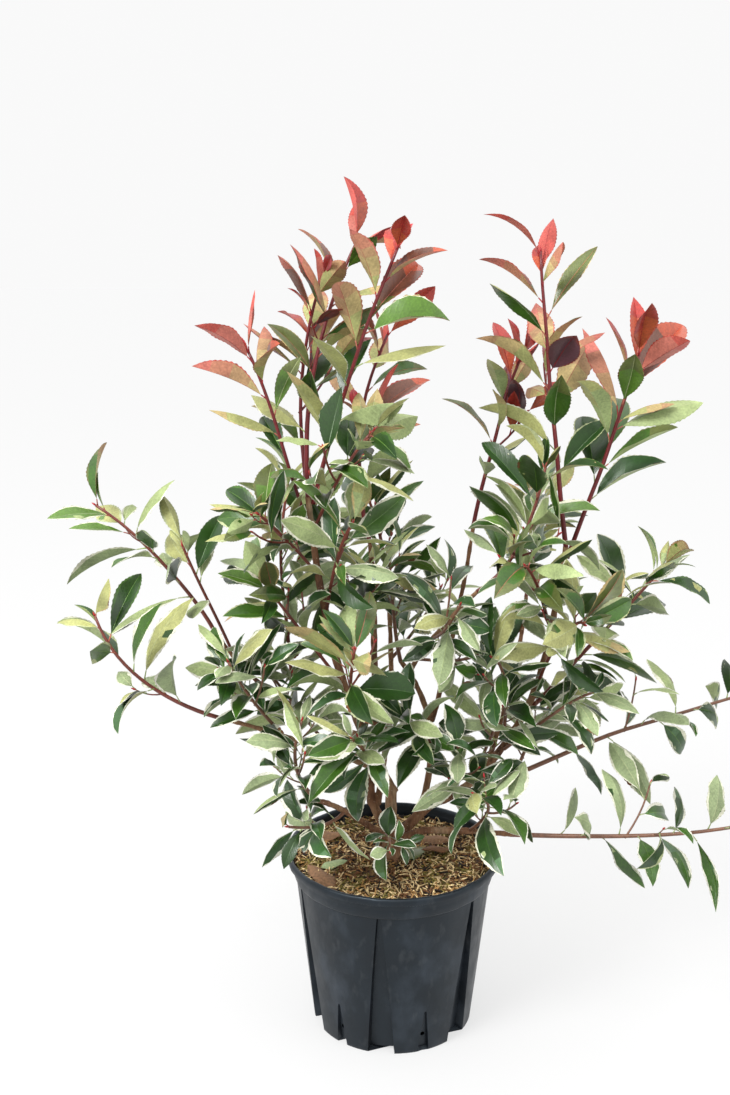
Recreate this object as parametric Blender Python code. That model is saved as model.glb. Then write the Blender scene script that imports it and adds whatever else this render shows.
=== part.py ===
"""A variegated photinia, a many-stemmed shrub in its black nursery pot, in metres with +Z up.

The pot stands on z = 0 with the middle of its base at the origin, and -Y is the front. A short
trunk parts at the soil into arms, a bough goes on from each arm, and every leafy shoot is one
solid: a stem, its side twigs and its leaves.
"""

import math
import random
from collections import namedtuple

import bmesh
import bpy
from mathutils import Matrix, Vector
from mathutils.bvhtree import BVHTree

UP = Vector((0.0, 0.0, 1.0))

# Clear distances
GAP = 0.0003
STEP = 0.0001
MOST_STEPS = 600
LEAF_MARGIN = 0.0006
FLAT_ANGLE = math.radians(6.0)

# Pot: a tapered wall with long flutes and short notches, a collar and a rolled lip
SECTORS = 6
FLUTE_TURN = math.radians(-99.0)
BASE_RADIUS = 0.097
COLLAR_Z = 0.188
BODY_TOP_RADIUS = 0.1175
WALL = 0.0022
FLOOR_THICKNESS = 0.003
FLUTE_HALF_ANGLE = math.radians(9.0)
FLUTE_DEPTH = 0.007
NOTCH_HALF_ANGLE = math.radians(3.8)
NOTCH_DEPTH = 0.006
NOTCH_TOP = 0.056
SIDE_ANGLE = math.radians(1.5)
APEX_SHARE = 0.08
LIP_RADIUS = 0.1295
LIP_WIDTH = 0.016
RIM_TOP = 0.219
COLLAR_AND_LIP = (
    (0.1900, 0.1208), (0.2085, 0.1225), (0.2105, 0.1288), (0.2155, LIP_RADIUS), (RIM_TOP, 0.1272),
    (RIM_TOP, 0.1240), (0.1900, 0.1186),
)
DRAIN_RADIUS = 0.003
DRAIN_SIDES = 6
DRAIN_DEPTH = 0.03
DRAIN_Z = 0.022
DRAIN_SHARE = 0.5
COLUMNS_PER_SECTOR = 10

# Soil and trunk
SOIL_TOP = 0.205
SOIL_SIDES = 36
SOIL_RINGS = ((FLOOR_THICKNESS + GAP, 0.0863), (COLLAR_Z, 0.1139), (SOIL_TOP, 0.1196))
TRUNK_FOOT = SOIL_TOP + GAP
FLARE = ((0.0, 0.0200), (0.004, 0.0165), (0.012, 0.0138), (0.026, 0.0125), (0.040, 0.0080))
TRUNK_SIDES = 9
ARM_FOOT = Vector((0.0, 0.0, 0.222))

# Boughs and shoots
BOUGH_SIDES = 6
TWIG_SIDES = 3
BOUGH_POINTS = 7
SHOOT_POINTS = 6
TWIG_POINTS = 3
SHOOT_THIN = 0.0016
TWIG_THICK = 0.0017
TWIG_THIN = 0.0014
TWIG_LEAVES = 3
TWIG_LEAF_SHARE = 0.86
TWIG_LENGTHS = (0.75, 1.0)
TWIG_REST = 1.5
TWIG_FORWARD = 0.6
TWIG_OUT = 0.8
TWIG_LIFT = 0.25
TWIG_TURN_UP = 0.45

# The rule of growth, one seed for the whole plant
SEED = 102
GOLDEN_ANGLE = math.radians(137.5)
TRIES = 9
TRY_SWING = math.radians(24.0)
ANGLE_PLAY = 0.2
LAST_LEAF = 0.985
LEAF_CROWDING = 0.9
YOUNG_FROM = 0.72
YOUNG_CLOSER = 0.40
YOUNG_SMALLER = 0.18
SPREAD_PLAY = (-9.0, 11.0)
LIFT_PLAY = 0.12
FACE_ALONG = 0.55
FACE_UP = 0.85
SIZE_PLAY = (0.88, 1.20)
WIDTH_PLAY = (0.90, 1.10)
ARCH_PLAY = (0.6, 1.35)
LEAF_ABOVE_LIP = 0.006
LEAF_ABOVE_SOIL = 0.010
LEAF_ABOVE_GROUND = 0.03

# Leaf
STALK = 0.0006
LEAF_THICKNESS = 0.012
LEAF_STATIONS = ((0.0, None), (0.34, 0.92), (0.70, 0.92))
LEAF_SPREAD = 0.41

# Colours
PLASTIC_BLACK = (0.018, 0.019, 0.021, 1.0)
SOIL_BROWN = (0.16, 0.10, 0.045, 1.0)
BARK_BROWN = (0.14, 0.075, 0.05, 1.0)
LEAF_COLOURS = {
    "top": (0.45, 0.16, 0.11, 1.0),
    "middle": (0.16, 0.26, 0.08, 1.0),
    "low": (0.12, 0.22, 0.10, 1.0),
}

Arm = namedtuple("Arm", "via tip thick thin")
Bough = namedtuple("Bough", "host along via tip thick thin")
Shoot = namedtuple("Shoot", "host along via tip thick leaves length stage twigs")
Run = namedtuple("Run", "points radii")
Leaf = namedtuple("Leaf", "root forward normal length width arch")
Stage = namedtuple("Stage", "bare spread lift roll arch")

ARMS = {
    "arm_left": Arm((-0.002, -0.004, 0.262), (-0.001, -0.006, 0.300), 0.0080, 0.0066),
    "arm_right": Arm((0.022, 0.012, 0.246), (0.047, 0.020, 0.268), 0.0074, 0.0060),
    "arm_back": Arm((-0.012, 0.010, 0.245), (-0.026, 0.020, 0.272), 0.0066, 0.0054),
    "arm_front": Arm((-0.010, -0.012, 0.238), (-0.024, -0.024, 0.256), 0.0060, 0.0046),
    "arm_low": Arm((0.018, -0.008, 0.238), (0.038, -0.014, 0.249), 0.0060, 0.0046),
}

# A bough or shoot: its host, the share along it, the points it passes and ends at, its radii or
# its foot's radius, and for a shoot its leaves, their length, its stage and its side twigs
BOUGHS = {
    "left_stem": Bough(
        "arm_left", 1.0, (-0.064, -0.014, 0.455), (-0.097, -0.02, 0.659), 0.0064, 0.0036,
    ),
    "back_left_stem": Bough(
        "arm_back", 1.0, (-0.022, 0.052, 0.43), (-0.027, 0.08, 0.58), 0.0052, 0.0032,
    ),
    "middle_stem": Bough(
        "arm_right", 0.62, (0.044, 0.022, 0.355), (0.01, 0.034, 0.446), 0.0046, 0.0032,
    ),
    "right_stem": Bough(
        "arm_right", 1.0, (0.15, 0.018, 0.372), (0.196, 0.0, 0.598), 0.0058, 0.0034,
    ),
    "middle_right_stem": Bough(
        "middle_stem", 0.9, (0.05, 0.0, 0.492), (0.095, -0.02, 0.548), 0.0032, 0.0026,
    ),
    "inner_right_stem": Bough(
        "middle_stem", 0.5, (0.072, 0.046, 0.48), (0.094, 0.062, 0.605), 0.0036, 0.0026,
    ),
    "right_low_stem": Bough(
        "right_stem", 0.12, (0.118, 0.03, 0.298), (0.168, 0.039, 0.305), 0.0042, 0.0032,
    ),
    "right_lowest_stem": Bough(
        "arm_low", 1.0, (0.088, -0.021, 0.2515), (0.14, -0.029, 0.25), 0.0044, 0.0032,
    ),
    "left_arch_stem": Bough(
        "back_left_stem", 0.22, (-0.135, 0.044, 0.392), (-0.215, 0.05, 0.48), 0.004, 0.0026,
    ),
    "left_low_stem": Bough(
        "left_stem", 0.06, (-0.11, -0.034, 0.372), (-0.2, -0.05, 0.405), 0.0038, 0.0026,
    ),
    "left_front_stem": Bough(
        "arm_front", 1.0, (-0.06, -0.06, 0.296), (-0.088, -0.088, 0.32), 0.0042, 0.0028,
    ),
    "back_middle_stem": Bough(
        "arm_back", 0.75, (-0.002, 0.082, 0.4), (-0.004, 0.12, 0.5), 0.0044, 0.0028,
    ),
    "back_right_stem": Bough(
        "right_stem", 0.3, (0.15, 0.08, 0.42), (0.165, 0.12, 0.5), 0.0036, 0.0026,
    ),
}

# How the leaves stand on the crown's top, middle and low shoots: the bare share of the stem, the
# angle to it, the lift, the most that a leaf rolls about its midrib (degrees) and how far it bends
STAGES = {
    "top": Stage(0.14, 40.0, 0.10, 62.0, 0.55),
    "middle": Stage(0.14, 54.0, 0.22, 72.0, 0.75),
    "low": Stage(0.08, 60.0, 0.26, 78.0, 0.85),
}

SHOOTS = {
    "left_top_middle": Shoot(
        "left_stem", 1.0, (-0.088, -0.004, 0.805), (-0.042, 0.018, 0.938), 0.003, 12, 0.077, "top", 1,
    ),
    "left_top_right": Shoot(
        "left_stem", 0.95, (-0.052, -0.036, 0.79), (-0.001, -0.048, 0.932), 0.0028, 12, 0.077, "top", 0,
    ),
    "left_top_back": Shoot(
        "left_stem", 0.9, (-0.104, 0.012, 0.77), (-0.08, 0.006, 0.9), 0.0024, 9, 0.075, "top", 1,
    ),
    "left_top_outer": Shoot(
        "left_stem", 0.86, (-0.132, -0.036, 0.745), (-0.16, -0.036, 0.82), 0.0022, 8, 0.07, "top", 1,
    ),
    "back_left_top": Shoot(
        "back_left_stem", 1.0, (-0.04, 0.094, 0.7), (-0.01, 0.102, 0.825), 0.0028, 9, 0.072, "top", 1,
    ),
    "left_inner_back": Shoot(
        "left_arch_stem", 0.4, (-0.132, 0.056, 0.54), (-0.126, 0.074, 0.66), 0.0024, 9, 0.07, "middle", 1,
    ),
    "right_top_middle": Shoot(
        "right_stem", 1.0, (0.174, 0.014, 0.77), (0.16, 0.03, 0.925), 0.003, 13, 0.08, "top", 1,
    ),
    "right_top_outer": Shoot(
        "right_stem", 0.94, (0.238, -0.004, 0.71), (0.264, -0.014, 0.815), 0.0028, 13, 0.083, "top", 1,
    ),
    "inner_right_top": Shoot(
        "inner_right_stem", 1.0, (0.118, 0.062, 0.715), (0.146, 0.06, 0.805), 0.0026, 10, 0.07, "top", 1,
    ),
    "middle_right_top": Shoot(
        "middle_right_stem", 1.0, (0.14, -0.018, 0.6), (0.168, -0.008, 0.69), 0.0026, 9, 0.077, "middle", 1,
    ),
    "right_side": Shoot(
        "right_stem", 0.52, (0.245, 0.004, 0.494), (0.308, 0.0, 0.572), 0.0028, 12, 0.07, "middle", 2,
    ),
    "left_arch_tip": Shoot(
        "left_arch_stem", 1.0, (-0.27, 0.052, 0.56), (-0.352, 0.052, 0.63), 0.0026, 9, 0.076, "middle", 0,
    ),
    "left_arch_side": Shoot(
        "left_arch_stem", 0.82, (-0.226, 0.04, 0.535), (-0.246, 0.03, 0.588), 0.002, 5, 0.063, "middle", 0,
    ),
    "left_low_tip": Shoot(
        "left_low_stem", 1.0, (-0.282, -0.06, 0.452), (-0.333, -0.06, 0.532), 0.0026, 10, 0.074, "middle", 0,
    ),
    "left_low_side": Shoot(
        "left_low_stem", 0.55, (-0.162, -0.05, 0.428), (-0.186, -0.062, 0.478), 0.0022, 7, 0.063, "low", 1,
    ),
    "left_low_inner": Shoot(
        "left_low_stem", 0.25, (-0.118, -0.01, 0.41), (-0.16, 0.0, 0.465), 0.0022, 7, 0.063, "low", 1,
    ),
    "left_front_tip": Shoot(
        "left_front_stem", 1.0, (-0.112, -0.1, 0.368), (-0.104, -0.102, 0.425), 0.0026, 10, 0.063, "low", 1,
    ),
    "left_front_side": Shoot(
        "left_front_stem", 0.45, (-0.082, -0.092, 0.292), (-0.12, -0.112, 0.3), 0.0022, 6, 0.061, "low", 0,
    ),
    "left_side_high": Shoot(
        "left_stem", 0.78, (-0.122, -0.032, 0.612), (-0.15, -0.044, 0.645), 0.002, 6, 0.066, "middle", 1,
    ),
    "left_side_low": Shoot(
        "left_stem", 0.42, (-0.106, -0.004, 0.492), (-0.146, 0.002, 0.545), 0.0022, 8, 0.066, "middle", 1,
    ),
    "left_front_high": Shoot(
        "left_stem", 0.9, (-0.06, -0.056, 0.69), (-0.03, -0.066, 0.738), 0.002, 6, 0.07, "middle", 1,
    ),
    "left_front_middle": Shoot(
        "left_stem", 0.66, (-0.066, -0.052, 0.59), (-0.048, -0.08, 0.64), 0.0022, 8, 0.068, "middle", 1,
    ),
    "left_front_low": Shoot(
        "left_stem", 0.34, (-0.05, -0.072, 0.455), (-0.046, -0.112, 0.51), 0.0024, 10, 0.068, "middle", 1,
    ),
    "left_front_foot": Shoot(
        "left_stem", 0.12, (-0.03, -0.07, 0.37), (-0.05, -0.12, 0.412), 0.0024, 9, 0.063, "low", 1,
    ),
    "middle_high": Shoot(
        "left_stem", 0.52, (-0.032, -0.006, 0.535), (0.004, 0.0, 0.58), 0.0022, 7, 0.066, "middle", 1,
    ),
    "middle_top": Shoot(
        "middle_stem", 1.0, (0.0, 0.044, 0.505), (-0.006, 0.052, 0.56), 0.0026, 7, 0.063, "low", 1,
    ),
    "middle_front": Shoot(
        "middle_stem", 0.35, (0.026, -0.026, 0.376), (0.012, -0.064, 0.41), 0.0024, 9, 0.061, "low", 1,
    ),
    "middle_side": Shoot(
        "middle_right_stem", 0.4, (0.056, -0.032, 0.506), (0.07, -0.066, 0.545), 0.002, 6, 0.063, "low", 1,
    ),
    "middle_low": Shoot(
        "middle_right_stem", 0.15, (0.072, 0.0, 0.458), (0.098, -0.01, 0.47), 0.002, 6, 0.061, "low", 1,
    ),
    "right_front_high": Shoot(
        "right_stem", 0.8, (0.16, -0.044, 0.56), (0.142, -0.072, 0.592), 0.0022, 7, 0.066, "middle", 1,
    ),
    "right_front_middle": Shoot(
        "right_stem", 0.62, (0.192, -0.046, 0.508), (0.206, -0.088, 0.532), 0.0022, 7, 0.066, "middle", 1,
    ),
    "right_front_low": Shoot(
        "right_stem", 0.4, (0.126, -0.028, 0.44), (0.108, -0.056, 0.48), 0.0022, 8, 0.063, "low", 1,
    ),
    "right_inner_low": Shoot(
        "right_stem", 0.22, (0.118, -0.01, 0.372), (0.124, -0.03, 0.41), 0.0022, 8, 0.061, "low", 1,
    ),
    "right_inner_foot": Shoot(
        "right_stem", 0.1, (0.08, -0.018, 0.33), (0.072, -0.046, 0.368), 0.0022, 7, 0.06, "low", 1,
    ),
    "right_side_low": Shoot(
        "right_stem", 0.34, (0.188, -0.012, 0.398), (0.228, -0.03, 0.43), 0.0022, 8, 0.063, "low", 1,
    ),
    "right_low_tip": Shoot(
        "right_low_stem", 1.0, (0.312, 0.05, 0.362), (0.47, 0.05, 0.406), 0.003, 13, 0.073, "low", 1,
    ),
    "right_low_side": Shoot(
        "right_low_stem", 0.8, (0.178, 0.078, 0.342), (0.205, 0.108, 0.372), 0.0022, 6, 0.061, "low", 0,
    ),
    "right_lowest_tip": Shoot(
        "right_lowest_stem", 1.0, (0.3, -0.064, 0.268), (0.456, -0.096, 0.306), 0.003, 14, 0.074, "low", 1,
    ),
    "right_lowest_side": Shoot(
        "right_lowest_stem", 0.5, (0.108, -0.062, 0.298), (0.088, -0.09, 0.33), 0.0022, 6, 0.059, "low", 1,
    ),
    "front_foot": Shoot(
        "arm_front", 0.6, (-0.006, -0.058, 0.262), (-0.004, -0.096, 0.262), 0.0022, 6, 0.052, "low", 0,
    ),
    "back_middle_top": Shoot(
        "back_middle_stem", 1.0, (-0.016, 0.144, 0.575), (-0.036, 0.15, 0.63), 0.0026, 9, 0.068, "middle", 0,
    ),
    "back_middle_side": Shoot(
        "back_middle_stem", 0.6, (0.034, 0.12, 0.462), (0.062, 0.146, 0.505), 0.0022, 9, 0.066, "low", 0,
    ),
    "back_left_side": Shoot(
        "back_left_stem", 0.66, (-0.07, 0.11, 0.545), (-0.098, 0.138, 0.6), 0.0022, 9, 0.066, "middle", 0,
    ),
    "back_right_top": Shoot(
        "back_right_stem", 1.0, (0.176, 0.134, 0.56), (0.184, 0.14, 0.615), 0.0024, 8, 0.066, "middle", 0,
    ),
}


# Helpers

def material(name, colour, roughness):
    """A Principled material with one colour."""
    made = bpy.data.materials.new(name)
    made.use_nodes = True
    shader = made.node_tree.nodes["Principled BSDF"]
    shader.inputs["Base Color"].default_value = colour
    shader.inputs["Roughness"].default_value = roughness
    shader.inputs["Metallic"].default_value = 0.0
    made.diffuse_color = colour
    return made


def mesh_object(name, bm, home):
    """An object in a collection, made from a bmesh, which is then freed."""
    mesh = bpy.data.meshes.new(name)
    bm.to_mesh(mesh)
    bm.free()
    made = bpy.data.objects.new(name, mesh)
    home.objects.link(made)
    return made


def loft(sides, places, point=None):
    """A closed solid: a flat face set at the first place and extruded to each next one."""
    bm = bmesh.new()
    bmesh.ops.create_circle(bm, cap_ends=True, segments=sides, radius=1.0, matrix=places[0])
    foot = next(iter(bm.faces))
    face = foot
    for before, after in zip(places, places[1:]):
        face = extruded(bm, face, foot)
        bmesh.ops.transform(bm, matrix=after @ before.inverted(), verts=face.verts)
    if point is not None:
        face = extruded(bm, face, foot)
        bmesh.ops.pointmerge(bm, verts=list(face.verts), merge_co=point)
    bmesh.ops.recalc_face_normals(bm, faces=bm.faces)
    return bm


def extruded(bm, face, foot):
    """The end face of a solid, extruded on the spot; only the foot's own face stays behind."""
    grown = bmesh.ops.extrude_face_region(bm, geom=[face])["geom"]
    if face is not foot:
        bmesh.ops.delete(bm, geom=[face], context="FACES_ONLY")
    return next(part for part in grown if isinstance(part, bmesh.types.BMFace))


def bow(start, via, tip, share):
    """The point at a share of the curve that passes from start by via to tip."""
    pull = 2.0 * via - 0.5 * (start + tip)
    rest = 1.0 - share
    return rest * rest * start + 2.0 * rest * share * pull + share * share * tip


def curved_run(start, via, tip, thick, thin, count, first=0.0):
    """Evenly placed points of a bow and the radius at each, from a first share on."""
    shares = [first + (1.0 - first) * i / (count - 1) for i in range(count)]
    points = [bow(start, via, tip, share) for share in shares]
    return Run(points, [thick + (thin - thick) * share for share in shares])


def directions(points):
    """The direction of a run at each of its points."""
    ahead = points[1:] + points[-1:]
    behind = points[:1] + points[:-1]
    return [(after - before).normalized() for before, after in zip(behind, ahead)]


def cross_places(run):
    """One matrix for each point of a run: across it, as wide as its radius, without twist."""
    places = []
    side = directions(run.points)[0].orthogonal().normalized()
    for point, forward, radius in zip(run.points, directions(run.points), run.radii):
        side = (side - side.project(forward)).normalized()
        turn = Matrix((side, forward.cross(side), forward)).transposed().to_4x4()
        places.append(Matrix.Translation(point) @ turn @ Matrix.Diagonal((radius, radius, 1.0, 1.0)))
    return places


def on_run(run, share):
    """The point, direction and radius at a share of a run."""
    at = share * (len(run.points) - 1)
    low = min(int(at), len(run.points) - 2)
    part = at - low
    point = run.points[low].lerp(run.points[low + 1], part)
    heading = directions(run.points)
    forward = heading[low].lerp(heading[low + 1], part).normalized()
    return point, forward, run.radii[low] * (1.0 - part) + run.radii[low + 1] * part


def is_clear(tree, place, sides):
    """True where the flat face of a foot lies outside a solid and at least GAP from it."""
    angles = [math.radians(90.0) + 2.0 * math.pi * i / sides for i in range(sides)]
    corners = [place @ Vector((math.cos(angle), math.sin(angle), 0.0)) for angle in angles]
    middles = [(a + b) * 0.5 for a, b in zip(corners, corners[1:] + corners[:1])]
    for spot in corners + middles + [place.translation]:
        near, normal, _, distance = tree.find_nearest(spot)
        if distance < GAP or (spot - near).dot(normal) <= 0.0:
            return False
    return True


def seated_run(start, via, tip, thick, thin, count, sides, tree):
    """A run whose foot is moved along it until it stands just clear of what carries it."""
    length = (via - start).length + (tip - via).length
    for i in range(MOST_STEPS):
        run = curved_run(start, via, tip, thick, thin, count, i * STEP / length)
        places = cross_places(run)
        if not is_clear(tree, places[0], sides):
            continue
        shell = loft(sides, places)
        touches = BVHTree.FromBMesh(shell).overlap(tree)
        shell.free()
        if not touches:
            return run
    raise ValueError("no clear foot")


# Leaves

def leaf_places(leaf, margin=0.0):
    """The cross-sections of a leaf: a three-sided stalk, then a blade with a keel under it."""
    side = leaf.forward.cross(leaf.normal)
    places = []
    for share, spread in LEAF_STATIONS:
        centre, forward, normal = leaf_line(leaf, share)
        half = STALK if spread is None else 0.5 * leaf.width * spread / math.sin(math.radians(60.0))
        keel = STALK if spread is None else LEAF_THICKNESS * leaf.length
        turn = Matrix((side, -normal, forward)).transposed().to_4x4()
        grow = Matrix.Diagonal((half + margin, keel + margin, 1.0, 1.0))
        places.append(Matrix.Translation(centre) @ turn @ grow)
    return places


def leaf_line(leaf, share):
    """The middle line of a leaf, an arc that bends back: its point, direction and upper side."""
    turned = leaf.arch * share
    radius = leaf.length / leaf.arch
    centre = leaf.root + leaf.forward * (radius * math.sin(turned))
    centre = centre - leaf.normal * (radius * (1.0 - math.cos(turned)))
    forward = leaf.forward * math.cos(turned) - leaf.normal * math.sin(turned)
    normal = leaf.normal * math.cos(turned) + leaf.forward * math.sin(turned)
    return centre, forward, normal


def leaf_solid(leaf, margin=0.0):
    """A leaf as a closed solid of sixteen faces."""
    return loft(TWIG_SIDES, leaf_places(leaf, margin), leaf_line(leaf, 1.0)[0])


def leaf_on(run, share, angle, stage, length, chance):
    """A leaf that stands on a run at a share of it, turned about it by an angle."""
    point, forward, _ = on_run(run, share)
    across = forward.orthogonal().normalized()
    out = across * math.cos(angle) + forward.cross(across) * math.sin(angle)
    rules = STAGES[stage]
    young = max(0.0, share - YOUNG_FROM) / (1.0 - YOUNG_FROM)
    spread = math.radians(rules.spread * (1.0 - YOUNG_CLOSER * young) + chance.uniform(*SPREAD_PLAY))
    heading = forward * math.cos(spread) + out * math.sin(spread)
    lift = rules.lift + chance.uniform(-LIFT_PLAY, LIFT_PLAY)
    heading = (heading + UP * lift).normalized()
    facing = forward * FACE_ALONG + UP * FACE_UP
    facing = (facing - facing.project(heading)).normalized()
    roll = math.radians(chance.uniform(-rules.roll, rules.roll))
    facing.rotate(Matrix.Rotation(roll, 3, heading))
    size = length * chance.uniform(*SIZE_PLAY) * (1.0 - YOUNG_SMALLER * young)
    width = size * LEAF_SPREAD * chance.uniform(*WIDTH_PLAY)
    return Leaf(point, heading, facing, size, width, rules.arch * chance.uniform(*ARCH_PLAY))


# Growth

def over_pot(point):
    """True where a point is clear of the pot, its lip and the soil in it."""
    away = math.hypot(point.x, point.y)
    if away > LIP_RADIUS + LEAF_ABOVE_LIP:
        return point.z > LEAF_ABOVE_GROUND
    if away > LIP_RADIUS - LIP_WIDTH:
        return point.z > RIM_TOP + LEAF_ABOVE_LIP
    return point.z > SOIL_TOP + LEAF_ABOVE_SOIL


class Crowd:
    """The solids that are already there, which a new one may not touch."""

    def __init__(self):
        self.solids = []

    def add(self, bm, owner):
        """Take in a solid and free its bmesh."""
        centre = sum((v.co for v in bm.verts), Vector()) / len(bm.verts)
        reach = max((v.co - centre).length for v in bm.verts)
        self.solids.append((centre, reach, BVHTree.FromBMesh(bm), owner))
        bm.free()

    def is_free(self, bm, owner):
        """True where a solid touches none of the others but its owner's, and not the pot."""
        points = [v.co for v in bm.verts]
        middles = [(e.verts[0].co + e.verts[1].co) * 0.5 for e in bm.edges]
        if not all(over_pot(point) for point in points + middles):
            return False
        centre = sum(points, Vector()) / len(points)
        reach = max((point - centre).length for point in points)
        tree = BVHTree.FromBMesh(bm)
        for other_centre, other_reach, other_tree, other_owner in self.solids:
            if other_owner == owner or (centre - other_centre).length > reach + other_reach:
                continue
            if tree.overlap(other_tree):
                return False
        return True


def grow_leaves(run, owner, count, length, stage, crowd, chance):
    """Leaves in a spiral along a run, each turned until it is free, or left out."""
    leaves = []
    bare = STAGES[stage].bare
    angle = chance.uniform(0.0, 2.0 * math.pi)
    for i in range(count):
        share = bare + (LAST_LEAF - bare) * ((i + 1.0) / count) ** LEAF_CROWDING
        angle += GOLDEN_ANGLE
        for attempt in range(TRIES):
            swing = TRY_SWING * ((attempt + 1) // 2) * (-1.0) ** attempt
            turned = angle + swing + chance.uniform(-ANGLE_PLAY, ANGLE_PLAY)
            leaf = leaf_on(run, share, turned, stage, length, chance)
            shell = leaf_solid(leaf, LEAF_MARGIN)
            if crowd.is_free(shell, owner):
                crowd.add(shell, None)
                leaves.append(leaf)
                break
            shell.free()
    return leaves


def grow_stem(name, shoot, runs, trees, crowd):
    """The stem of a shoot, which starts just clear of the bough that carries it."""
    start = on_run(runs[shoot.host], shoot.along)[0]
    stem = seated_run(
        start, Vector(shoot.via), Vector(shoot.tip), shoot.thick, SHOOT_THIN, SHOOT_POINTS,
        TWIG_SIDES, trees[shoot.host],
    )
    crowd.add(loft(TWIG_SIDES, cross_places(stem)), name)
    return stem


def dress_stem(name, stem, shoot, crowd, seed):
    """The side twigs of a stem and the leaves on both, by a seeded rule."""
    chance = random.Random(seed)
    twigs = []
    leaves = []
    small = shoot.length * TWIG_LEAF_SHARE
    for i in range(shoot.twigs):
        twig = grow_twig(stem, shoot, (i + 1.0) / (shoot.twigs + TWIG_REST), chance)
        shell = loft(TWIG_SIDES, cross_places(twig))
        if crowd.is_free(shell, name):
            crowd.add(shell, name)
            twigs.append(twig)
            leaves += grow_leaves(twig, name, TWIG_LEAVES, small, shoot.stage, crowd, chance)
        else:
            shell.free()
    leaves += grow_leaves(stem, name, shoot.leaves, shoot.length, shoot.stage, crowd, chance)
    return twigs, leaves


def grow_twig(stem, shoot, share, chance):
    """A short side twig that leaves the stem and turns up."""
    point, forward, _ = on_run(stem, share)
    across = forward.orthogonal().normalized()
    angle = chance.uniform(0.0, 2.0 * math.pi)
    out = across * math.cos(angle) + forward.cross(across) * math.sin(angle)
    half = 0.5 * shoot.length * chance.uniform(*TWIG_LENGTHS)
    heading = (forward * TWIG_FORWARD + out * TWIG_OUT + UP * TWIG_LIFT).normalized()
    via = point + heading * half
    tip = via + (heading + UP * TWIG_TURN_UP).normalized() * half
    return curved_run(point, via, tip, TWIG_THICK, TWIG_THIN, TWIG_POINTS)


# Pot and soil

def pot_ring(bm, z, radius, inset, verts):
    """Move one ring of the pot's wall to its height, round the flutes and notches."""
    flute = max(0.0, 1.0 - z / COLLAR_Z)
    notch = max(0.0, 1.0 - z / NOTCH_TOP)
    half_flute = FLUTE_HALF_ANGLE * (APEX_SHARE + (1.0 - APEX_SHARE) * flute)
    half_notch = NOTCH_HALF_ANGLE * (APEX_SHARE + (1.0 - APEX_SHARE) * notch)
    sector = 2.0 * math.pi / SECTORS
    middle = 0.5 * sector
    plain = 0.5 * (FLUTE_HALF_ANGLE + SIDE_ANGLE + middle - NOTCH_HALF_ANGLE - SIDE_ANGLE)
    columns = (
        (-half_flute - SIDE_ANGLE, 0.0), (-half_flute, FLUTE_DEPTH * flute),
        (half_flute, FLUTE_DEPTH * flute), (half_flute + SIDE_ANGLE, 0.0), (plain, 0.0),
        (middle - half_notch - SIDE_ANGLE, 0.0), (middle - half_notch, NOTCH_DEPTH * notch),
        (middle + half_notch, NOTCH_DEPTH * notch), (middle + half_notch + SIDE_ANGLE, 0.0),
        (sector - plain, 0.0),
    )
    for i, vert in enumerate(verts):
        turn, depth = columns[i % len(columns)]
        angle = FLUTE_TURN + sector * (i // len(columns)) + turn
        away = radius - depth - inset
        vert.co = (away * math.cos(angle), away * math.sin(angle), z)


def body_radius(z):
    """The radius of the pot's tapered wall between its flutes."""
    return BASE_RADIUS + (BODY_TOP_RADIUS - BASE_RADIUS) * z / COLLAR_Z


def ring_solid(rings):
    """A closed solid that passes through rings of the pot's plan, capped at both ends."""
    bm = bmesh.new()
    count = SECTORS * COLUMNS_PER_SECTOR
    loops = []
    for z, radius, inset in rings:
        made = bmesh.ops.create_circle(bm, segments=count, radius=radius)["verts"]
        pot_ring(bm, z, radius, inset, made)
        loops.append(made)
    bm.verts.ensure_lookup_table()
    for lower, upper in zip(loops, loops[1:]):
        pairs = [(ring[i], ring[(i + 1) % count]) for ring in (lower, upper) for i in range(count)]
        bmesh.ops.bridge_loops(bm, edges=[bm.edges.get(pair) for pair in pairs])
    bmesh.ops.contextual_create(bm, geom=loops[0])
    bmesh.ops.contextual_create(bm, geom=loops[-1])
    bmesh.ops.recalc_face_normals(bm, faces=bm.faces)
    return bm


def make_pot(home, cutters):
    """The pot: wall, flutes, collar and lip in one skin, with a drain hole in each sector."""
    heights = (0.0, NOTCH_TOP, COLLAR_Z)
    rings = [(z, body_radius(z), 0.0) for z in heights]
    rings += [(z, radius, 0.0) for z, radius in COLLAR_AND_LIP]
    rings += [(z, body_radius(z), WALL) for z in heights[:0:-1]]
    rings.append((FLOOR_THICKNESS, body_radius(FLOOR_THICKNESS), WALL))
    pot = mesh_object("pot", ring_solid(rings), home)
    for i in range(SECTORS):
        turn = Matrix.Rotation(FLUTE_TURN + (i + DRAIN_SHARE) * 2.0 * math.pi / SECTORS, 4, "Z")
        out = Matrix.Translation((BASE_RADIUS, 0.0, DRAIN_Z)) @ Matrix.Rotation(math.radians(90.0), 4, "Y")
        bm = bmesh.new()
        bmesh.ops.create_cone(
            bm, cap_ends=True, segments=DRAIN_SIDES, radius1=DRAIN_RADIUS, radius2=DRAIN_RADIUS,
            depth=DRAIN_DEPTH, matrix=turn @ out,
        )
        hole = mesh_object("drain_hole_%d" % i, bm, cutters)
        hole.display_type = "WIRE"
        hole.hide_render = True
    join_collection(pot, cutters, "DIFFERENCE")
    return pot


def make_soil(home):
    """The soil that fills the pot, clear of its wall, its flutes and its floor."""
    points = [Vector((0.0, 0.0, z)) for z, _ in SOIL_RINGS]
    block = Run(points, [radius for _, radius in SOIL_RINGS])
    return mesh_object("soil", loft(SOIL_SIDES, cross_places(block)), home)


# Joining

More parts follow.
